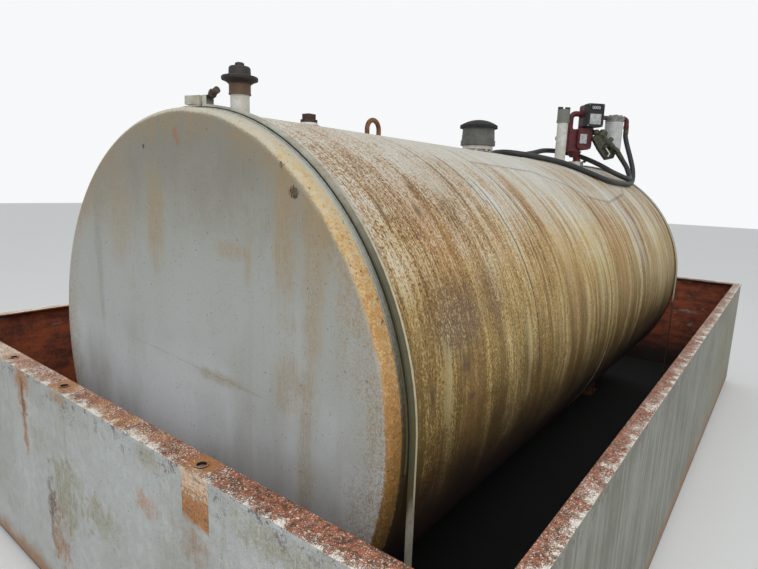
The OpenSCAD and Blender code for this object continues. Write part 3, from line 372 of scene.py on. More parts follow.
def shellPaint():
    f = Finish("tank_paint", roughness=0.62)
    t = shellTones
    arc = f.aroundTank()
    down = f.calc("ABSOLUTE", arc)
    flat = f.join(f.x, arc)
    drift = f.grain(1.4, 3.0, 0.55, flat)
    wander = f.join(f.plus(f.x, f.times(drift, 0.12)), arc)
    hair = f.grain(1.0, 3.0, 0.6, wander, (150.0, 5.0, 1.0))
    thin = f.grain(1.0, 4.0, 0.6, wander, (52.0, 1.8, 1.0))
    middle = f.grain(1.0, 4.0, 0.6, wander, (15.0, 0.9, 1.0), 0.3)
    wide = f.grain(1.0, 3.0, 0.5, wander, (4.5, 0.5, 1.0), 0.2)
    grit = f.grain(1.0, 2.0, 0.7, flat, (180.0, 120.0, 1.0))
    dash = f.grain(1.0, 3.0, 0.7, wander, (130.0, 36.0, 1.0))
    blotch = f.grain(6.0, 6.0, 0.66)
    nearEnd = f.fade(f.x, -0.6, -1.5)
    flank = f.fade(down, 0.20, 0.80)
    # how far the stain has gone: 0 is bare chalky paint, 1 is brown
    field = f.plus(f.sway(wide, f.plus(0.7, f.times(flank, 0.4))),
                   f.sway(middle, f.plus(0.70, f.times(flank, 0.8), f.times(nearEnd, -0.4))),
                   f.sway(thin, f.plus(0.50, f.times(flank, 0.9))),
                   f.sway(hair, 0.95),
                   f.sway(blotch, f.plus(0.3, f.times(nearEnd, 0.6))),
                   f.sway(dash, f.plus(0.7, f.times(nearEnd, 0.7))),
                   f.sway(grit, f.plus(1.1, f.times(nearEnd, 1.3))))
    field = f.plus(field, 0.38, f.times(flank, 0.06), f.times(nearEnd, f.fade(down, 0.1, 0.5), 0.17),
                   f.times(f.fade(down, 0.55, 0.15), f.fade(f.x, -1.4, -0.9), -0.12),
                   f.times(f.fade(down, 0.3, 0.6), f.fade(f.x, -1.60, -1.85), 0.18),
                   f.times(f.fade(f.x, 0.3, 1.1), 0.08))
    upper = f.ramp(field, [(0.08, t["chalk"]), (0.34, t["pale"]), (0.56, t["tan"]), (0.78, t["ochre"]),
                           (1.05, t["brown"])])
    lower = f.ramp(field, [(0.10, t["lowPale"]), (0.40, t["lowTan"]), (0.68, t["lowOchre"]), (1.0, t["lowBrown"])])
    sunk = f.plus(down, f.sway(middle, 0.5), f.sway(blotch, 0.5), f.times(f.fade(f.x, -0.6, 1.6), -0.15))
    colour = f.mix(f.fade(sunk, 0.50, 1.05), upper, lower)
    film = f.times(f.fade(down, 0.75, 1.30),
                   f.fade(f.plus(middle, f.times(dash, 0.5), f.times(grit, 0.3)), 0.58, 1.08))
    colour = f.mix(f.times(film, 0.9), colour, t["olive"])
    # stains with ragged, grainy edges, alike on both sides
    rough = f.plus(f.sway(blotch, 2.2), f.sway(dash, 2.6), f.sway(grit, 3.4), f.sway(thin, 1.6))
    broken = f.plus(0.20, f.times(f.fade(f.plus(grit, dash), 0.86, 1.10), 0.80))
    for x, y, halfX, halfY, name, amount in shellStains:
        mask = f.spot(f.x, down, (x, y), (halfX, halfY), rough)
        colour = f.mix(f.times(mask, broken, amount), colour, t[name])
    for x, y, half in shellLines:
        mask = f.times(f.band(f.plus(f.x, f.times(drift, 0.02)), x + 0.01, 0.0030, 0.0025),
                       f.band(down, y, half, 0.06))
        colour = f.mix(f.times(mask, f.fade(dash, 0.25, 0.5), 0.9), colour, t["line"])
    for x, y, halfX, halfY in shellScars:
        mask = f.spot(f.x, down, (x, y), (halfX, halfY), f.times(f.plus(grit, -0.46), 7.0))
        colour = f.mix(f.times(mask, 0.75), colour, t["line"])
    # track that the hose has worn, on its own side only
    share = f.calc("DIVIDE", f.plus(f.x, -hoseRub["first"]), hoseRub["last"] - hoseRub["first"])
    track = f.ramp(share, [(place, (drop, drop, drop, 1.0)) for place, drop in hoseRub["path"]])
    beside = f.plus(down, f.times(track, -1.0))
    worn = f.times(f.fade(arc, 0.0, -0.1), f.band(share, 0.5, 0.5, 0.02))
    wiped = f.band(f.plus(beside, f.sway(middle, 0.1)), -0.04, 0.02, 0.05)
    colour = f.mix(f.times(worn, wiped, f.fade(f.plus(dash, grit), 0.8, 1.2), 0.5), colour, t["chalk"])
    scratch = f.band(f.plus(beside, f.sway(thin, 0.02)), 0.0, 0.003, 0.010)
    colour = f.mix(f.times(worn, scratch, f.fade(dash, 0.3, 0.6), 0.6), colour, t["line"])
    # clean strip beside the near strap, and a darker underside: rust-red there, deepened with painted shade
    strip = f.times(f.band(f.plus(f.x, f.sway(grit, 0.05)), nearStrap[1] + 0.020, 0.016, 0.018),
                    f.fade(down, 1.0, 0.5))
    colour = f.mix(f.times(strip, 0.4), colour, t["chalk"])
    under = f.fade(f.plus(down, f.sway(blotch, 0.3), f.times(nearEnd, 0.06)), 1.18, 1.66)
    colour = f.mix(under, colour, t["umber"])
    shellEnd = f.calc("MAXIMUM", f.fade(f.x, nearStrap[0], nearStrap[0] - 0.004),
                      f.fade(f.x, farStrap[1], farStrap[1] + 0.004))
    colour = f.mix(shellEnd, colour, endPaint(f, down, grit))
    height = f.plus(f.times(grit, 0.5), f.times(hair, 0.4), f.times(blotch, 0.8))
    return f.done(colour, f.plus(0.48, f.times(grit, 0.25)), height, 0.0012)


# The rolled rim of a head and the end of the shell next to it carry one mottled band
bandTones = tones(
    cream=(184, 178, 160), tan=(188, 163, 112), orange=(169, 118, 55), ochre=(131, 95, 41), deep=(58, 48, 26),
    speck=(54, 38, 30), grey=(164, 167, 160),
)


def endPaint(f, down, grit):
    # clean grey between the weld and the strap, dirtier toward the floor
    t = bandTones
    colour = f.mix(f.fade(grit, 0.45, 0.70), t["grey"], t["cream"])
    return f.mix(f.fade(f.plus(down, f.sway(grit, 0.6)), 0.55, 1.25), colour, t["deep"])


def edgeBand(f, down, grit, blotch):
    t = bandTones
    crumb = f.grain(200.0, 3.0, 0.75)
    stripe = f.grain(70.0, 3.0, 0.6)
    height = f.calc("DIVIDE", f.plus(down, f.sway(blotch, 0.7), f.sway(crumb, 1.8), f.sway(stripe, 0.9)), 2.0)
    colour = f.ramp(height, [(0.14, t["cream"]), (0.36, t["tan"]), (0.52, t["orange"]), (0.70, t["ochre"]),
                             (0.90, t["deep"])])
    colour = f.mix(f.times(f.fade(f.plus(grit, f.times(crumb, 0.8)), 0.96, 1.10), 0.6), colour, t["cream"])
    colour = f.mix(f.times(f.fade(f.plus(stripe, f.times(crumb, 0.6)), 0.90, 1.02), 0.55), colour, t["orange"])
    return f.mix(f.times(f.fade(f.grain(60.0, 4.0, 0.7), 0.63, 0.67), 0.85), colour, t["speck"])


# high, middle and low tones of the head; the low one is painted light, paler to offset the shade of the dike walls
# near the bottom
headTones = tones(
    high=(142, 142, 134), middle=(166, 170, 168), low=(226, 229, 232), cloud=(150, 150, 142), tan=(146, 122, 82),
    grime=(118, 116, 106), rust=(140, 88, 50), dark=(42, 30, 24),
)

# marks on the near head: metres across and up, half width, half height, tone, strength
headMarks = [
    (-0.660, 1.36, 0.034, 0.24, "tan", 0.60), (-0.668, 0.98, 0.050, 0.10, "tan", 0.45),
    (-0.655, 1.549, 0.008, 0.014, "dark", 4.0), (-0.692, 1.473, 0.012, 0.010, "dark", 3.0),
    (-0.020, 1.592, 0.005, 0.006, "dark", 4.0), (-0.196, 1.625, 0.012, 0.016, "rust", 0.8),
    (-0.208, 1.602, 0.008, 0.014, "rust", 0.8), (0.153, 1.37, 0.090, 0.14, "tan", 0.35),
    (-0.067, 1.37, 0.040, 0.15, "tan", 0.60), (-0.46, 1.312, 0.080, 0.022, "tan", 0.45),
    (-0.52, 1.27, 0.018, 0.060, "tan", 0.45), (-0.50, 1.545, 0.070, 0.050, "grime", 0.50),
    (0.316, 1.24, 0.020, 0.24, "grime", 0.35), (-0.40, 0.928, 0.140, 0.016, "tan", 0.45),
    (-0.76, 1.30, 0.030, 0.34, "tan", 0.50), (-0.735, 0.75, 0.030, 0.24, "tan", 0.45),
]


def headPaint():
    f = Finish("head_paint", roughness=0.55)
    t = headTones
    out = f.fromAxis()
    down = f.calc("ABSOLUTE", f.aroundTank())
    cloud = f.grain(2.2, 4.0, 0.55, stretch=(1.0, 1.0, 0.5))
    runDown = f.grain(1.0, 4.0, 0.55, stretch=(1.0, 24.0, 1.1))
    comb = f.grain(1.0, 3.0, 0.6, stretch=(1.0, 260.0, 14.0))
    grit = f.grain(1.0, 3.0, 0.75, stretch=(200.0, 260.0, 170.0))
    blotch = f.grain(6.0, 6.0, 0.66)
    # paler toward the bottom: painted light against the shade the dike walls cast on the head's low part
    height = f.plus(f.calc("DIVIDE", f.plus(f.z, -axisZ), 2 * tankRadius), 0.5, f.sway(cloud, 0.2))
    colour = f.ramp(height, [(0.34, t["low"]), (0.56, t["middle"]), (0.86, t["high"])])
    colour = f.mix(f.times(f.fade(cloud, 0.42, 0.68), 0.6), colour, t["cloud"])
    high = f.fade(f.z, axisZ + 0.1, axisZ + 0.8)
    # fine tan grain, thickest high up and toward the edge
    speckle = f.plus(f.times(grit, 0.9), f.times(comb, 0.25), f.times(blotch, 0.5), f.times(high, 0.10),
                     f.times(f.fade(out, tankRadius - 0.30, tankRadius), 0.06))
    colour = f.mix(f.times(f.fade(speckle, 0.88, 1.10), 0.50), colour, t["tan"])
    colour = f.mix(f.times(f.fade(f.plus(grit, f.times(comb, 0.3)), 0.42, 0.28), 0.35), colour, t["grime"])
    stain = f.fade(f.plus(cloud, f.times(runDown, 0.8), f.times(grit, 0.35)), 1.06, 1.34)
    colour = f.mix(f.times(stain, f.plus(0.15, f.times(high, 0.3))), colour, t["tan"])
    crown = f.fade(f.plus(f.z, f.sway(blotch, 0.3), f.sway(comb, 0.15)), axisZ + 0.38, axisZ + 0.78)
    colour = f.mix(f.times(crown, 0.9), colour, t["grime"])
    rough = f.plus(f.sway(blotch, 3.0), f.sway(grit, 3.6), f.sway(runDown, 2.0))
    broken = f.plus(0.3, f.times(f.fade(f.plus(grit, f.times(comb, 0.5)), 0.62, 0.86), 0.7))
    front = f.fade(f.x, 0.0, -0.5)
    for y, z, halfY, halfZ, name, amount in headMarks:
        mask = f.spot(f.y, f.z, (y, z), (halfY, halfZ), rough)
        colour = f.mix(f.times(mask, broken, front, 1.3 * amount), colour, t[name])
    # seam of the head's two plates
    seam = f.plus(f.z, f.times(f.y, -0.051), -0.950)
    seamMask = f.times(f.band(seam, 0.0, 0.0015, 0.003), f.band(f.y, -0.22, 0.34, 0.03), f.fade(grit, 0.4, 0.6))
    colour = f.mix(f.times(seamMask, front, 0.4), colour, t["grime"])
    rimStain = f.times(f.fade(f.plus(out, f.sway(blotch, 0.16)), tankRadius - 0.12, tankRadius - 0.01),
                       f.fade(f.plus(grit, f.times(runDown, 0.4)), 0.56, 0.86))
    colour = f.mix(f.times(rimStain, 0.8), colour, t["tan"])
    fleck = f.fade(f.grain(110.0, 3.0, 0.7), 0.66, 0.69)
    colour = f.mix(f.times(fleck, 0.65), colour, t["dark"])
    edge = f.fade(f.plus(out, f.sway(grit, 0.02), f.sway(blotch, 0.02)), tankRadius - 0.016, tankRadius - 0.009)
    colour = f.mix(edge, colour, edgeBand(f, down, grit, blotch))
    beside = f.times(f.fade(f.x, nearWeld - 0.005, nearWeld - 0.002), f.fade(f.x, farWeld + 0.005, farWeld + 0.002))
    colour = f.mix(beside, colour, endPaint(f, down, grit))
    bump = f.plus(f.times(grit, 0.4), f.times(cloud, 0.8), f.times(edge, -0.3))
    return f.done(colour, f.plus(0.46, f.times(grit, 0.2)), bump, 0.001)


# the darkest tone here is painted shade, used low on the inside walls and in the rim holes
dikeTones = tones(
    paint=(174, 177, 175), grime=(154, 154, 146), olive=(138, 132, 102), streak=(112, 112, 100), rust=(146, 98, 52),
    deep=(80, 54, 36), pale=(212, 186, 160), flake=(236, 230, 218), red=(156, 94, 66), inside=(160, 80, 46),
    burnt=(88, 44, 32), soot=(30, 20, 14), side=(140, 140, 132), ochre=(166, 110, 58),
)

# marks outside the near wall: metres across and up, half width, half height, tone, strength
wallMarks = [
    (0.455, 0.77, 0.050, 0.045, "ochre", 0.90), (0.445, 0.73, 0.034, 0.090, "ochre", 1.20),
    (0.440, 0.70, 0.016, 0.100, "deep", 0.80), (0.435, 0.58, 0.018, 0.080, "ochre", 0.90),
    (0.12, 0.46, 0.110, 0.120, "olive", 0.75),
    (-0.13, 0.48, 0.110, 0.060, "olive", 0.60), (0.25, 0.36, 0.028, 0.110, "deep", 0.75),
    (0.20, 0.26, 0.070, 0.080, "rust", 0.80), (-0.40, 0.775, 0.050, 0.026, "olive", 0.60),
    (-0.39, 0.640, 0.050, 0.030, "ochre", 0.50), (-0.92, 0.76, 0.140, 0.034, "olive", 0.60),
    (0.14, 0.790, 0.050, 0.018, "ochre", 0.60), (-1.18, 0.30, 0.050, 0.090, "rust", 0.60),
    (1.05, 0.40, 0.040, 0.100, "olive", 0.55), (-0.60, 0.62, 0.060, 0.050, "rust", 0.45),
    (0.75, 0.68, 0.060, 0.070, "olive", 0.45), (0.30, 0.60, 0.080, 0.060, "olive", 0.40),
]

# bare strip under a rim hole, where a plate was: left, right, top, bottom
bareStrip = {"left": -0.560, "right": -0.667, "top": 0.805, "bottom": 0.682}


def dikePaint():
    f = Finish("dike_paint", roughness=0.66)
    t = dikeTones
    plate = 0.0055
    outX = f.fade(f.calc("ABSOLUTE", f.x), -dikeLow[0] - plate, 0.0004 - dikeLow[0] - plate)
    outY = f.fade(f.calc("ABSOLUTE", f.y), dikeHigh[1] - plate, dikeHigh[1] + 0.0004 - plate)
    outside = f.calc("MAXIMUM", outX, outY)
    cloud = f.grain(3.0, 5.0, 0.6)
    runDown = f.grain(1.0, 4.0, 0.6, stretch=(34.0, 34.0, 1.2))
    comb = f.grain(1.0, 3.0, 0.6, stretch=(150.0, 150.0, 4.0))
    blotch = f.grain(9.0, 6.0, 0.68)
    grit = f.grain(1.0, 4.0, 0.75, stretch=(160.0, 160.0, 100.0))
    # light grey ends, darker streaked sides
    ends = f.mix(f.fade(cloud, 0.38, 0.72), t["paint"], t["grime"])
    ends = f.mix(f.times(f.fade(f.plus(runDown, f.times(grit, 0.3)), 0.72, 0.90), 0.35), ends, t["olive"])
    pits = f.fade(f.plus(f.grain(120.0, 4.0, 0.7), f.times(blotch, 0.5)), 0.90, 0.95)
    ends = f.mix(f.times(pits, 0.8), ends, t["deep"])
    sides = f.mix(f.fade(f.plus(runDown, f.times(comb, 0.2), f.times(cloud, 0.8)), 0.86, 1.14), t["side"], t["streak"])
    farSide = f.times(f.fade(f.plus(f.x, f.times(f.z, -1.2)), -0.9, 0.9),
                      f.fade(f.plus(runDown, f.times(comb, 0.3)), 0.56, 0.80))
    sides = f.mix(f.times(farSide, 0.85), sides, t["olive"])
    drips = f.fade(f.plus(f.times(runDown, 0.9), f.times(blotch, 0.4), f.times(grit, 0.3)), 0.86, 1.02)
    sides = f.mix(f.times(drips, 0.7), sides, t["streak"])
    wall = f.mix(outY, ends, sides)
    chips = f.grain(30.0, 5.0, 0.75)
    rough = f.plus(f.sway(blotch, 3.0), f.sway(chips, 4.5), f.sway(grit, 3.0))
    broken = f.plus(0.25, f.times(f.fade(f.plus(grit, f.times(comb, 0.4)), 0.58, 0.82), 0.65))
    front = f.fade(f.x, 0.0, -0.5)
    for y, z, halfY, halfZ, name, amount in wallMarks:
        mask = f.spot(f.y, f.z, (y, z), (halfY, halfZ), rough)
        wall = f.mix(f.times(mask, broken, front, 1.5 * amount), wall, t[name])
    crust = f.times(f.fade(f.plus(f.z, f.sway(blotch, 0.16)), dikeHigh[2] - 0.10, dikeHigh[2] - 0.01),
                    f.fade(f.plus(chips, f.times(grit, 0.4)), 0.74, 0.82))
    wall = f.mix(f.times(crust, 0.75), wall, t["deep"])
    s = bareStrip
    across = f.band(f.plus(f.y, f.sway(grit, 0.004)), (s["left"] + s["right"]) / 2,
                    (s["left"] - s["right"]) / 2, 0.002)
    along = f.fade(f.plus(f.z, f.sway(blotch, 0.08)), s["bottom"] - 0.01, s["bottom"] + 0.01)
    brushed = f.grain(1.0, 4.0, 0.65, stretch=(1.0, 14.0, 190.0))
    lowPart = f.fade(f.plus(f.z, f.times(brushed, 0.05)), s["top"] + 0.03, s["bottom"] + 0.03)
    rusted = f.fade(f.plus(f.times(brushed, 2.0), f.times(lowPart, 0.6), f.times(grit, 0.6)), 1.36, 1.70)
    strip = f.mix(rusted, t["pale"], t["ochre"])
    strip = f.mix(f.times(f.fade(f.plus(brushed, f.times(grit, -0.7)), 0.14, 0.02), 0.7), strip, t["deep"])
    wall = f.mix(f.times(across, along, front), wall, strip)
    low = f.times(f.fade(f.plus(f.z, f.sway(blotch, 0.16)), 0.13, 0.05), 0.85)
    wall = f.mix(low, wall, t["rust"])
    # rusted inside, in level bands, with remains of paint near the top
    layer = f.grain(1.0, 5.0, 0.7, stretch=(4.0, 4.0, 16.0))
    burnt = f.fade(f.plus(f.times(layer, 0.7), f.times(blotch, 0.4), f.times(grit, 0.3)), 0.60, 0.82)
    inner = f.mix(burnt, t["inside"], t["burnt"])
    inner = f.mix(f.times(f.fade(f.plus(chips, f.times(layer, 0.5)), 0.84, 0.92), 0.35), inner, t["ochre"])
    left = f.fade(f.plus(f.grain(5.0, 6.0, 0.7, stretch=(0.5, 0.5, 1.6)), f.times(f.fade(f.z, 0.62, 0.78), 0.06),
                         f.times(f.fade(f.x, 2.2, 1.9), -0.12)), 0.56, 0.62)
    inner = f.mix(f.times(left, 0.75), inner, t["grime"])
    # painted shade: the inside walls go nearly black toward the floor
    inner = f.mix(f.fade(f.plus(f.z, f.sway(blotch, 0.2)), 0.36, 0.10), inner, t["soot"])
    # painted shade in and under each rim hole
    for holeX, holeY in rimHoles:
        under = f.times(f.spot(f.x, f.y, (holeX, holeY), (0.035, 0.035), 0.0), f.fade(f.z, 0.5, 0.6))
        inner = f.mix(under, inner, t["soot"])
    colour = f.mix(outside, inner, wall)
    # the turned rim on top: rust with pale flecks, whitest at its outer edge and toward the far side
    edgeX = f.plus(f.calc("ABSOLUTE", f.x), dikeLow[0])
    edgeY = f.plus(f.calc("ABSOLUTE", f.y), -dikeHigh[1])
    inset = f.calc("MULTIPLY", f.calc("MAXIMUM", edgeX, edgeY), -1.0)
    top = f.times(f.fade(f.z, dikeHigh[2] - 0.0045, dikeHigh[2] - 0.0035), f.fade(f.split(f.facing)[2], 0.3, 0.7))
    patchy = f.plus(f.times(f.grain(7.0, 5.0, 0.7), 0.9), f.times(f.fade(f.y, -0.7, -0.3), 0.10),
                    f.times(f.fade(f.y, 0.3, 0.8), 0.16), f.times(f.fade(f.x, -1.0, 2.0), 0.14))
    fine = f.grain(240.0, 3.0, 0.75)
    rim = f.mix(f.fade(f.grain(90.0, 4.0, 0.7), 0.40, 0.62), t["red"], t["deep"])
    bare = f.times(f.fade(f.plus(f.grain(11.0, 5.0, 0.7), f.times(chips, 0.5)), 0.72, 0.84), f.fade(f.y, -0.7, -0.3))
    rim = f.mix(f.times(bare, 0.8), rim, t["ochre"])
    rim = f.mix(f.times(f.fade(f.plus(f.times(fine, 0.9), patchy), 1.00, 1.22), 0.7), rim, t["pale"])
    rim = f.mix(f.times(f.fade(f.plus(fine, f.times(patchy, 0.30)), 0.71, 0.79), 0.9), rim, t["flake"])
    peeled = f.grain(16.0, 5.0, 0.7)
    flaked = f.fade(f.plus(f.times(inset, 16.0), f.sway(fine, 3.4), f.sway(peeled, -3.2)), 0.12, -0.05)
    rim = f.mix(flaked, rim, t["flake"])
    for holeX, holeY in rimHoles:
        halo = f.spot(f.x, f.y, (holeX, holeY), (0.05, 0.045), f.sway(blotch, 1.6))
        rim = f.mix(f.times(halo, f.fade(grit, 0.30, 0.55), 0.9), rim, t["ochre"])
    colour = f.mix(top, colour, rim)
    bump = f.plus(f.times(grit, 0.3), f.times(blotch, 0.6), f.times(flaked, 0.5))
    return f.done(colour, f.plus(0.5, f.times(grit, 0.3)), bump, 0.0012)


def linerPaint():
    # rubber that was sprayed over from the sides, so it shows black only close to its strap
    f = Finish("liner_rubber", roughness=0.7)
    grit = f.grain(90.0, 4.0, 0.7)
    bare = f.fade(f.plus(f.fromAxis(), f.sway(grit, 0.001)), tankRadius + 0.0046, tankRadius + 0.0054)
    down = f.calc("ABSOLUTE", f.aroundTank())
    spray = f.mix(f.fade(grit, 0.35, 0.65), tone(172, 174, 166), tone(150, 150, 138))
    spray = f.mix(f.fade(down, 0.5, 1.15), spray, tone(98, 88, 50))
    rubber = f.mix(f.fade(grit, 0.35, 0.65), tone(36, 38, 36), tone(24, 25, 24))
    return f.done(f.mix(bare, spray, rubber), f.plus(0.55, f.times(grit, 0.2)), grit, 0.0006)


def strapPaint():
    # pale strap and block, with a rusty bolt that stands out toward the viewer
    f = Finish("strap_paint", roughness=0.6)
    grit = f.grain(160.0, 4.0, 0.75)
    cloud = f.grain(14.0, 4.0, 0.6)
    down = f.calc("ABSOLUTE", f.aroundTank())
    colour = f.mix(f.fade(cloud, 0.35, 0.65), tone(182, 181, 168), tone(162, 156, 136))
    colour = f.mix(f.times(f.fade(f.plus(grit, f.times(cloud, 0.4)), 0.74, 0.86), 0.6), colour, tone(128, 98, 68))
    colour = f.mix(f.times(f.fade(down, 1.2, 1.9), 0.4), colour, tone(104, 94, 72))
    middle = (nearFace + farFace) / 2
    lip = f.fade(f.calc("ABSOLUTE", f.plus(f.x, -middle)), farStrap[0] + 0.006 - middle, farStrap[0] + 0.003 - middle)
    stained = f.times(f.fade(down, 0.45, 0.9), f.fade(f.fromAxis(), tankRadius + 0.03, tankRadius + 0.02))
    colour = f.mix(stained, colour, f.mix(lip, tone(80, 76, 50), tone(196, 184, 152)))
    farRun = f.times(f.fade(f.x, -0.1, 0.1), f.fade(f.fromAxis(), tankRadius + 0.02, tankRadius + 0.03),
                     f.fade(f.z, axisZ, axisZ - 0.1))
    colour = f.mix(farRun, colour, tone(74, 56, 44))
    edge = f.fade(f.fromAxis(), strapOut - 0.001, strapOut + 0.001)
    side = f.times(f.fade(f.y, boltFrom + 0.001, boltFrom - 0.001), f.fade(f.z, axisZ, axisZ + 0.1))
    rusty = f.mix(f.fade(f.plus(cloud, f.times(grit, 0.5)), 0.6, 0.9), tone(38, 29, 24), tone(70, 54, 38))
    colour = f.mix(f.times(side, edge), colour, rusty)
    return f.done(colour, f.plus(0.5, f.times(grit, 0.25)), f.plus(grit, cloud), 0.0008)


def mottled(name, light, dark, scale, roughness, metallic=0.0, depth=0.0006, specks=None, amount=0.5):
    # paint or metal with soft patches, fine grain and a scatter of specks
    f = Finish(name, metallic, roughness)
    cloud = f.grain(scale, 4.0, 0.6)
    grit = f.grain(scale * 9, 3.0, 0.7)
    colour = f.mix(f.fade(cloud, 0.35, 0.65), tone(*light), tone(*dark))
    if specks:
        colour = f.mix(f.times(f.fade(grit, 0.56, 0.66), amount), colour, tone(*specks))
    rough = f.plus(roughness - 0.08, f.times(grit, 0.2))
    return f.done(colour, rough, f.plus(cloud, f.times(grit, 0.5)), depth)


def twoTone(name, lower, upper, height, specks, soft, roughness=0.65):
    # one finish below a height and another above it, for castings whose top weathers differently
    f = Finish(name, roughness=roughness)
    cloud = f.grain(26.0, 4.0, 0.6)
    grit = f.grain(260.0, 3.0, 0.7)
    high = f.fade(f.plus(f.z, f.sway(cloud, 2 * soft)), height - soft, height + soft)
    colour = f.mix(high, tone(*lower), tone(*upper))
    colour = f.mix(f.times(f.fade(f.plus(grit, f.times(cloud, 0.4)), 0.72, 0.84), 0.5), colour, tone(*specks))
    return f.done(colour, f.plus(roughness - 0.1, f.times(grit, 0.2)), f.plus(cloud, f.times(grit, 0.5)), 0.0008)


# Light colour, dark colour, how small the patches are, roughness, and what else a finish needs
plainFinishes = {
    # the dike floor is nearly black: its own dark colour, deepened with painted shade under the tank
    "dark_floor": ((8, 8, 6), (4, 4, 4), 9.0, 0.95, {"specks": (30, 26, 18), "amount": 0.4}),
    "rusty_steel": ((124, 84, 56), (80, 52, 36), 40.0, 0.8, {"specks": (172, 134, 92), "depth": 0.0015}),
    "pipe_paint": ((204, 205, 202), (186, 182, 170), 24.0, 0.55, {"specks": (136, 112, 82)}),
    "cast_dark": ((74, 72, 66), (52, 49, 44), 26.0, 0.65, {"specks": (124, 116, 100)}),
    "cap_black": ((20, 20, 22), (13, 13, 14), 22.0, 0.75, {"specks": (52, 50, 48), "amount": 0.3}),
    "pump_maroon": ((90, 20, 28), (62, 15, 20), 30.0, 0.6, {"specks": (122, 74, 68), "amount": 0.35}),
    "bare_label": ((178, 182, 182), (150, 152, 150), 60.0, 0.45, {"metallic": 0.3, "depth": 0.0002}),
    "register_black": ((17, 18, 21), (11, 12, 14), 40.0, 0.62, {"depth": 0.0003}),
    "filter_grey": ((138, 138, 132), (104, 102, 94), 40.0, 0.55, {"specks": (70, 66, 60), "metallic": 0.2}),
    "filter_white": ((190, 192, 192), (174, 174, 170), 20.0, 0.5, {"specks": (140, 132, 118), "amount": 0.3}),
    "nozzle_dark": ((66, 66, 46), (40, 40, 30), 50.0, 0.5, {"specks": (112, 110, 90), "amount": 0.4, "metallic": 0.1}),
    "lever_bright": ((214, 214, 210), (182, 182, 176), 90.0, 0.4, {"metallic": 0.3, "depth": 0.0002}),
    "hose_rubber": ((38, 40, 41), (28, 29, 30), 18.0, 0.55, {"specks": (74, 72, 68), "amount": 0.3}),
    "body_grey": ((92, 92, 88), (72, 70, 66), 18.0, 0.6, {"specks": (126, 122, 112), "amount": 0.35}),
    "plug_rust": ((70, 46, 34), (46, 32, 26), 50.0, 0.75, {"specks": (104, 70, 46)}),
    "meter_dust": ((84, 40, 42), (74, 62, 60), 34.0, 0.6, {"specks": (118, 104, 98)}),
    "weld_rust": ((140, 112, 82), (96, 72, 52), 60.0, 0.75, {"specks": (176, 162, 134), "depth": 0.0008}),
    "weld_paint": ((182, 174, 150), (150, 130, 96), 40.0, 0.65, {"specks": (96, 76, 54), "depth": 0.0008}),
    "digit_white": ((226, 226, 222), (212, 212, 206), 80.0, 0.5, {"depth": 0.0001}),
    "flake_paint": ((218, 211, 196), (194, 180, 160), 90.0, 0.6, {"specks": (152, 112, 88), "amount": 0.4}),
}

# Castings: lower colour, upper colour, height where they meet, specks, and how soft the change is
ironFinishes = {
    "vent_iron": ((96, 72, 54), (34, 27, 25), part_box("vent_cap")[0][2] + 0.033, (70, 48, 36), 0.003),
    "fill_iron": ((112, 114, 106), (24, 25, 25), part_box("fill_cap")[1][2] - 0.0175, (78, 76, 68), 0.0012),
}

finishes = {"tank_paint": shellPaint(), "head_paint": headPaint(), "dike_paint": dikePaint(),
            "liner_rubber": linerPaint(), "strap_paint": strapPaint()}


def mixFinishes():
    for name, (light, dark, scale, roughness, more) in plainFinishes.items():
        finishes[name] = mottled(name, light, dark, scale, roughness, **more)
    for name, settings in ironFinishes.items():
        finishes[name] = twoTone(name, *settings)


mixFinishes()
print("finishes mixed:", len(finishes))

# Parts whose finish differs from the one of their group
ownFinish = {"vent_cap": "vent_iron", "fill_cap": "fill_iron", "square_plug": "plug_rust", "relief_base": "pipe_paint",
             "relief_body": "body_grey", "hose_elbow": "pump_maroon", "meter_body": "meter_dust"}


def dressParts():
    for name, part in nodes.items():
        for slot in part.material_slots:
            chosen = ownFinish.get(name) or (slot.material.name.split(".")[0] if slot.material else "")
            if chosen in finishes:
                slot.material = finishes[chosen]
    hosePiece.data.materials.append(finishes["hose_rubber"])


dressParts()


# Small shapes that most fittings share
def crisp(piece, degrees):
    # edges sharper than this stay sharp
    piece.modifiers.new("edges", "EDGE_SPLIT").split_angle = math.radians(degrees)
    return piece


def middleOf(name):
    low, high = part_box(name)
    return (low[0] + high[0]) / 2, (low[1] + high[1]) / 2


def lathe(name, profile, place, steps=64, lean=None):
    # turned piece: profile is pairs of radius and height, on an upright axis unless it leans
    verts, faces = [], []
    for radius, height in profile:
        for k in range(steps):
            a = 2 * math.pi * k / steps
            verts.append(Vector((radius * math.cos(a), radius * math.sin(a), height)))
    for i in range(len(profile) - 1):
        for k in range(steps):
            n = (k + 1) % steps
            faces.append((i * steps + k, i * steps + n, (i + 1) * steps + n, (i + 1) * steps + k))
    faces.append(tuple(range(steps - 1, -1, -1)))
    faces.append(tuple((len(profile) - 1) * steps + k for k in range(steps)))
    turn = (lean or Matrix.Identity(3)).to_4x4()
    spot = Matrix.Translation(place) @ turn
    return crisp(makeMesh(name, [spot @ v for v in verts], faces), 35)


def slab(name, width, deep, height, spot, soft=0.002):
    # flat-sided piece with softened edges, centred on its own frame
    made = bmesh.new()
    bmesh.ops.create_cube(made, size=1.0)
    for vert in made.verts:
        vert.co = Vector((vert.co.x * width, vert.co.y * deep, vert.co.z * height))
    bmesh.ops.bevel(made, geom=list(made.edges), offset=soft, segments=2, affect="EDGES", profile=0.6)
    bmesh.ops.transform(made, matrix=spot, verts=list(made.verts))
    mesh = bpy.data.meshes.new(name)
    made.to_mesh(mesh)
    made.free()
    mesh.shade_smooth()
    return crisp(bpy.data.objects.new(name, mesh), 40)


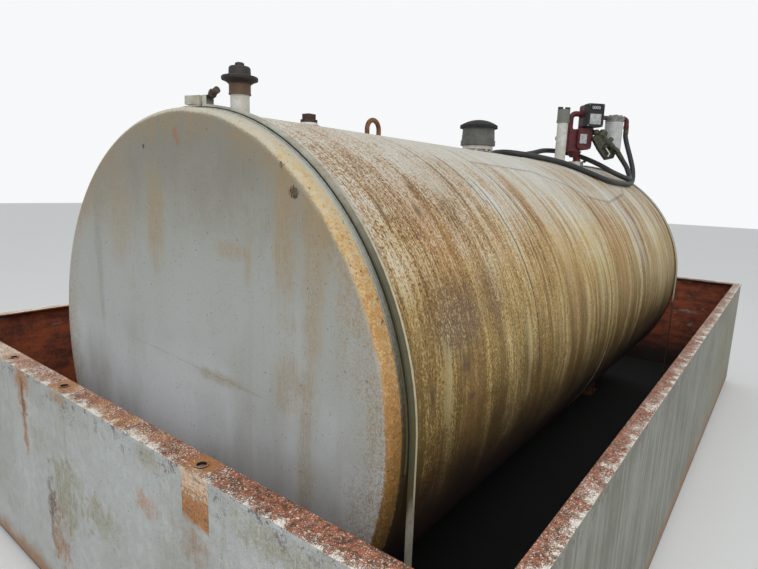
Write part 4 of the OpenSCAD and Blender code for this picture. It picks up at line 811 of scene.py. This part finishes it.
def joined(name, pieces):
    # several small pieces made into one
    points, faces = [], []
    for piece in pieces:
        shift = len(points)
        points += [piece.matrix_world @ v.co for v in piece.data.vertices]
        faces += [tuple(shift + k for k in face.vertices) for face in piece.data.polygons]
        bpy.data.meshes.remove(piece.data)
    return crisp(makeMesh(name, points, faces), 35)


def finish(piece, finishName, body="tank"):
    piece.data.materials.append(finishes[finishName])
    return keep(piece, body)


def tankTop(x, y, lift=0.0):
    # point on the shell's outside over (x, y)
    return Vector((x, y, axisZ + math.sqrt((tankRadius + lift) ** 2 - (y - axisY) ** 2)))


def weldRing(name, points, radius, finishName="weld_rust"):
    # closed bead with the small ripples that a hand weld leaves
    ripple = [radius * (1 + 0.16 * math.sin(i * 1.9) + 0.35 * noise.noise(Vector(p) * 60))
              for i, p in enumerate(points)]
    return finish(sweep(name, points + [points[0]], ripple + [ripple[0]], 8, False), finishName)


welds = {"footBead": 0.0045, "seamBead": 0.0022, "headBead": 0.0035, "footSteps": 96, "seamSteps": 720,
         "reliefFoot": 0.062}


def footWeld(name, x, y, radius):
    # bead where an upright pipe of this radius meets the shell
    ring = []
    for i in range(welds["footSteps"]):
        a = 2 * math.pi * i / welds["footSteps"]
        ring.append(tankTop(x + radius * math.cos(a), y + radius * math.sin(a), 0.001))
    return weldRing(name, ring, welds["footBead"])


def roundWeld(name, x, radius, bead, finishName):
    ring = []
    for i in range(welds["seamSteps"]):
        a = 2 * math.pi * i / welds["seamSteps"]
        wobble = 0.0012 * noise.noise(Vector((x * 3, math.cos(a) * 9, math.sin(a) * 9)))
        ring.append(Vector((x + wobble, axisY + radius * math.sin(a), axisZ + radius * math.cos(a))))
    return weldRing(name, ring, bead, finishName)


def makeWelds():
    for name, label in (("vent_pipe", "vent"), ("plug_boss", "plug"), ("relief_base", "relief"),
                        ("fill_pipe", "fill"), ("pump_bushing", "bushing")):
        low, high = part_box(name)
        radius = welds["reliefFoot"] if label == "relief" else (high[0] - low[0]) / 2
        footWeld(label + "_weld", *middleOf(name), radius)
    low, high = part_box("lifting_ring")
    bar = (high[1] - low[1]) / 2
    for side, x in (("near", low[0] + bar), ("far", high[0] - bar)):
        footWeld("ring_weld_" + side, x, axisY, bar)
    # beads sit half in the plate, so they stay inside the straps' reach
    roundWeld("near_head_weld", nearWeld, tankRadius - 0.0006, welds["headBead"], "head_paint")
    roundWeld("far_head_weld", farWeld, tankRadius - 0.0006, welds["headBead"], "head_paint")
    roundWeld("course_weld", courseWeld, tankRadius - 0.0008, welds["seamBead"], "weld_paint")
    print("welds run")


pumpTurn = -44


def pumpFrame():
    # the pump stands turned on its bushing; its frame is the bushing's place on the crest's level
    place = Vector((*middleOf("pump_bushing"), crestZ))
    return Matrix.Translation(place) @ Matrix.Rotation(math.radians(pumpTurn), 4, "Z")


pumpSpot = pumpFrame()


def onPump(x, y, z):
    # millimetres in the pump's own frame
    return pumpSpot @ Vector((x / 1000, y / 1000, z / 1000))


ventCap = {"collar": 35.2, "disc": 57.5, "drum": 35.0, "knob": 15.0}


def makeVentCap():
    r = ventCap
    place = Vector((*middleOf("vent_cap"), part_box("vent_cap")[0][2]))
    profile = [(30.4, 0), (r["collar"], 0), (r["collar"], 4), (r["collar"] - 1, 5), (r["collar"] - 1, 30),
               (r["collar"] + 2, 34), (46, 40), (r["disc"] - 1, 44), (r["disc"], 46), (r["disc"], 53),
               (r["disc"] - 2, 55), (44, 58), (r["drum"] + 1, 60), (r["drum"], 63), (r["drum"] - 1, 81),
               (r["drum"] - 4, 85), (22, 87), (r["knob"] + 1, 88), (r["knob"], 90), (r["knob"] - 1, 96),
               (r["knob"] - 4, 98), (0.5, 98)]
    cap = finish(lathe("vent_cap_turned", [(a / 1000, b / 1000) for a, b in profile], place), "vent_iron")
    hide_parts("vent_cap")
    print("vent cap turned")


registerFace = {"middle": (57, 343), "depth": -109, "digits": 4, "digitWide": 10.5, "digitHigh": 18.0, "pitch": 16.0,
                "stroke": 1.5, "squareness": 0.78, "windowUp": 52, "plateDown": 27, "screws": (54, 72),
                "rivets": (36, 31), "bezel": (38.2, 15.2, 80, 34, 3.5)}


def makeRegister():
    g = registerFace
    faceY = g["depth"]
    centreX, centreZ = g["middle"]
    windowZ = centreZ + g["windowUp"]
    plateZ = centreZ - g["plateDown"]
    standing = pumpSpot.to_3x3().to_4x4()
    flat = pumpSpot.to_3x3() @ Matrix.Rotation(math.radians(90), 3, "X")

    def at(x, y, z):
        return Matrix.Translation(onPump(x, y, z)) @ standing

    rings, wheels = [], []
    for i in range(g["digits"]):
        x = centreX + (i - (g["digits"] - 1) / 2) * g["pitch"]
        wheels.append(slab("wheel", 0.0140, 0.003, 0.0235, at(x, faceY + 3.2, windowZ), 0.0012))
        outline = []
        for k in range(40):
            a = 2 * math.pi * k / 40
            side = math.copysign(abs(math.cos(a)) ** g["squareness"], math.cos(a))
            rise = math.copysign(abs(math.sin(a)) ** g["squareness"], math.sin(a))
            outline.append(onPump(x + g["digitWide"] / 2 * side, faceY + 1.6, windowZ + g["digitHigh"] / 2 * rise))
        rings.append(sweep("digit", outline + [outline[0]], g["stroke"] / 1000, 8, False))
    finish(joined("register_wheels", wheels), "register_black")
    finish(joined("register_digits", rings), "digit_white")
    finish(slab("register_plate", 0.084, 0.0012, 0.072, at(centreX, faceY + 1.0, plateZ), 0.0005), "bare_label")
    screw = [(0.004, 0), (0.004, 0.0012), (0.003, 0.0022), (0.0005, 0.0024)]
    rivet = [(0.0028, 0), (0.0022, 0.001), (0.0005, 0.0013)]
    screws = []
    for sx in (-1, 1):
        for sz in (-1, 1):
            spot = onPump(centreX + sx * g["screws"][0], faceY - 0.2, centreZ + sz * g["screws"][1])
            screws.append(lathe("screw", screw, spot, 16, flat))
            spot = onPump(centreX + sx * g["rivets"][0], faceY + 0.4, plateZ + sz * g["rivets"][1])
            screws.append(lathe("rivet", rivet, spot, 12, flat))
    finish(joined("register_screws", screws), "bare_label")
    aside, above, wide, tall, thick = g["bezel"]
    bezel = []
    for sx, sz, w, h in ((0, 1, wide, thick), (0, -1, wide, thick), (-1, 0, thick, tall), (1, 0, thick, tall)):
        spot = at(centreX + sx * aside, faceY - 0.9, windowZ + sz * above)
        bezel.append(slab("bezel", w / 1000, 0.0035, h / 1000, spot, 0.001))
    finish(joined("register_bezel", bezel), "register_black")
    print("register finished")


def makeHoseEnds():
    # crimped ferrules at both ends of the hose, on the hose's own line
    first, second = hoseCurve[0], hoseCurve[4]
    last, before = hoseCurve[-1], hoseCurve[-5]
    for name, start, toward in (("ferrule_top", first, second), ("ferrule_nozzle", last, before)):
        ahead = (toward - start).normalized()
        steps = [start + ahead * (0.002 + 0.0022 * i) for i in range(16)]
        radii = [hose["diameter"] / 2 + (0.0016 if i % 4 in (0, 1) else 0.0006) for i in range(16)]
        finish(sweep(name, steps, radii, 28), "nozzle_dark")
    print("ferrules crimped")


rimFlakes = {"near": 150, "right": 210, "thick": 0.0011, "small": 0.002, "large": 0.007}


def flake(centre, size, thick, stretch):
    # one thin curled chip of paint: a ragged many-sided plate
    corners = random.randint(6, 9)
    low, high = [], []
    for k in range(corners):
        a = 2 * math.pi * k / corners
        r = size * (0.55 + 0.45 * random.random())
        p = centre + Vector((r * math.cos(a), r * math.sin(a) * stretch, 0))
        lift = 0.0010 * random.random()
        low.append(p - Vector((0, 0, 0.0004)))
        high.append(p + Vector((0, 0, thick * 0.5 + lift * 0.5)))
    middle = [centre + Vector((0, 0, thick * 0.35))]
    points = low + high + middle
    faces = []
    for k in range(corners):
        n = (k + 1) % corners
        faces.append((k, n, corners + n, corners + k))
        faces.append((corners + k, corners + n, 2 * corners))
    return points, faces


def makeRimFlakes():
    top = dikeHigh[2] - 0.0025
    points, faces = [], []
    f = rimFlakes

    def put(x, y, stretch):
        shift = len(points)
        size = random.uniform(f["small"], f["large"]) * 0.6
        more, around = flake(Vector((x, y, top)), size, f["thick"], stretch)
        points.extend(more)
        faces.extend(tuple(shift + k for k in face) for face in around)

    halfL, halfW = -dikeLow[0], dikeHigh[1]
    for i in range(f["near"]):
        y = random.uniform(-halfW + 0.02, halfW - 0.02)
        x = -halfL + 0.004 + abs(random.gauss(0.006, 0.012))
        put(x + 0.012, y, 1.4)
    for i in range(f["right"]):
        x = random.uniform(-halfL + 0.05, halfL - 0.05)
        y = -halfW + 0.016 + abs(random.gauss(0.004, 0.008))
        put(x, y, 0.7)
        if i % 2:
            put(x * 0.97, halfW - 0.016 - abs(random.gauss(0.004, 0.008)), 0.7)
    finish(makeMesh("rim_flakes", points, faces, False), "flake_paint")
    print("rim flakes laid")


def hexHead(flats, height):
    # six-sided head with a rounded top, as pairs for a six-step lathe
    r = flats / 2 / math.cos(math.pi / 6) / 1000
    top = height / 1000
    return [(r * 0.98, 0), (r, 0.0004), (r, top - 0.0012), (r * 0.86, top), (r * 0.3, top)]


reliefTrim = {"studs": 8, "circle": 0.0728, "stud": 0.0042, "pitch": 0.0008, "gasketAt": 0.0326, "gasket": 0.0865,
              "beadAt": 0.1265, "bead": 0.1030}


def makeReliefTrim():
    r = reliefTrim
    centre = Vector((*middleOf("relief_base"), crestZ))
    studs = []
    for i in range(r["studs"]):
        a = 2 * math.pi * (i + 0.5) / r["studs"]
        spot = centre + Vector((r["circle"] * math.cos(a), r["circle"] * math.sin(a), 0.001))
        turns = [(r["stud"] + 0.0006 * (k % 2), r["pitch"] * k) for k in range(12)]
        studs.append(lathe("stud", turns, spot, 16))
    finish(joined("relief_studs", studs), "pipe_paint")
    g = r["gasket"]
    seal = [(g - 0.0025, 0), (g, 0.0004), (g, 0.0022), (g - 0.0025, 0.0026)]
    finish(lathe("relief_gasket", seal, centre + Vector((0, 0, r["gasketAt"])), 96), "liner_rubber")
    b = r["bead"]
    bead = [(b - 0.0015, 0), (b, 0.0006), (b, 0.0038), (b - 0.0018, 0.0046)]
    finish(lathe("relief_cap_bead", bead, centre + Vector((0, 0, r["beadAt"])), 96), "cap_black", "relief_lid")
    print("relief vent trimmed")


# millimetres in the pump's own frame: middle, depth, and how far each row stands from the middle
pumpTrim = {"label": (-2, 180, -74.2, 21, 28), "cover": (12, 180, -69.8, 42, 61)}


def fourOnPump(name, profile, place, sides, flat):
    x, z, depth, aside, above = place
    return [lathe(name, profile, onPump(x + sx * aside, depth, z + sz * above), sides, flat)
            for sx in (-1, 1) for sz in (-1, 1)]


def makePumpTrim():
    flat = pumpSpot.to_3x3() @ Matrix.Rotation(math.radians(90), 3, "X")
    rivet = [(0.0026, 0), (0.0020, 0.0010), (0.0004, 0.0013)]
    finish(joined("label_rivets", fourOnPump("rivet", rivet, pumpTrim["label"], 12, flat)), "bare_label")
    washer = [(0.0062, 0), (0.0082, 0.0003), (0.0082, 0.0014), (0.0060, 0.0017)]
    finish(joined("cover_washers", fourOnPump("washer", washer, pumpTrim["cover"], 24, flat)), "cast_dark")
    print("pump trimmed")


filterTrim = {"seam": 0.0640, "seamDown": 0.012, "bolts": 6, "circle": 0.044, "flats": 13, "head": 8,
              "boltDown": 0.0115}


def makeFilterTrim():
    # rolled seam under the filter's head, and the head's bolts
    t = filterTrim
    centre = Vector((*middleOf("filter_canister"), 0))
    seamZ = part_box("filter_canister")[1][2] - t["seamDown"]
    r = t["seam"]
    seam = [(r - 0.0028, 0), (r - 0.0006, 0.001), (r, 0.003), (r - 0.0006, 0.005), (r - 0.0028, 0.006)]
    finish(lathe("filter_seam", seam, centre + Vector((0, 0, seamZ)), 72), "filter_white")
    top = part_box("filter_head")[1][2] - t["boltDown"]
    bolts = []
    for i in range(t["bolts"]):
        a = 2 * math.pi * (i + 0.5) / t["bolts"]
        spot = centre + Vector((t["circle"] * math.cos(a), t["circle"] * math.sin(a), top))
        bolts.append(lathe("bolt", hexHead(t["flats"], t["head"]), spot, 6))
    finish(joined("filter_bolts", bolts), "filter_grey")
    print("filter trimmed")


makeWelds()
makeVentCap()
makeRegister()
makeHoseEnds()
makeRimFlakes()
makeReliefTrim()
makePumpTrim()
makeFilterTrim()

# Plain floor, even sky light and one wide soft lamp
studio = {"floorSize": 60.0, "floorTone": (0.80, 0.80, 0.79, 1.0), "floorCloud": (0.78, 0.78, 0.77, 1.0),
          "skyLight": 0.67, "skyTone": (0.95, 0.98, 1.0, 1.0), "backdrop": (0.93, 0.94, 0.95, 1.0),
          "lampPower": 330.0, "lampSize": 7.0, "lampPlace": (-5.6, -4.2, 6.4), "lampAim": (0, 0, 0.8)}


def layFloor():
    half = studio["floorSize"] / 2
    floor = makeMesh("floor", [(-half, -half, 0), (half, -half, 0), (half, half, 0), (-half, half, 0)], [(0, 1, 2, 3)])
    bpy.context.scene.collection.objects.link(floor)
    paper = Finish("floor_paper", roughness=0.9)
    cloud = paper.grain(0.4, 2.0)
    floor.data.materials.append(paper.done(paper.mix(cloud, studio["floorTone"], studio["floorCloud"])))


def setSky():
    # the camera, mirrors and glass see the backdrop; everything else is lit by the sky
    world = bpy.data.worlds.new("sky")
    world.use_nodes = True
    bpy.context.scene.world = world
    tree = world.node_tree
    tree.nodes.clear()
    link = tree.links.new
    out = tree.nodes.new("ShaderNodeOutputWorld")
    seen = tree.nodes.new("ShaderNodeBackground")
    seen.inputs[0].default_value = studio["backdrop"]
    lit = tree.nodes.new("ShaderNodeBackground")
    lit.inputs[0].default_value = studio["skyTone"]
    lit.inputs[1].default_value = studio["skyLight"]
    path = tree.nodes.new("ShaderNodeLightPath")
    either = tree.nodes.new("ShaderNodeMath")
    either.operation = "MAXIMUM"
    link(path.outputs["Is Camera Ray"], either.inputs[0])
    link(path.outputs["Is Glossy Ray"], either.inputs[1])
    both = tree.nodes.new("ShaderNodeMath")
    both.operation = "MAXIMUM"
    link(either.outputs[0], both.inputs[0])
    link(path.outputs["Is Transmission Ray"], both.inputs[1])
    blend = tree.nodes.new("ShaderNodeMixShader")
    for source, socket in zip((both, lit, seen), blend.inputs):
        link(source.outputs[0], socket)
    link(blend.outputs[0], out.inputs[0])


def hangLamp():
    lamp = bpy.data.lights.new("soft_lamp", "AREA")
    lamp.energy = studio["lampPower"]
    lamp.size = studio["lampSize"]
    holder = bpy.data.objects.new("soft_lamp", lamp)
    holder.location = studio["lampPlace"]
    aim = Vector(studio["lampAim"]) - Vector(studio["lampPlace"])
    holder.rotation_euler = aim.to_track_quat("-Z", "Y").to_euler()
    bpy.context.scene.collection.objects.link(holder)


layFloor()
setSky()
hangLamp()
bpy.context.scene.view_settings.view_transform = "Standard"
print("studio set")
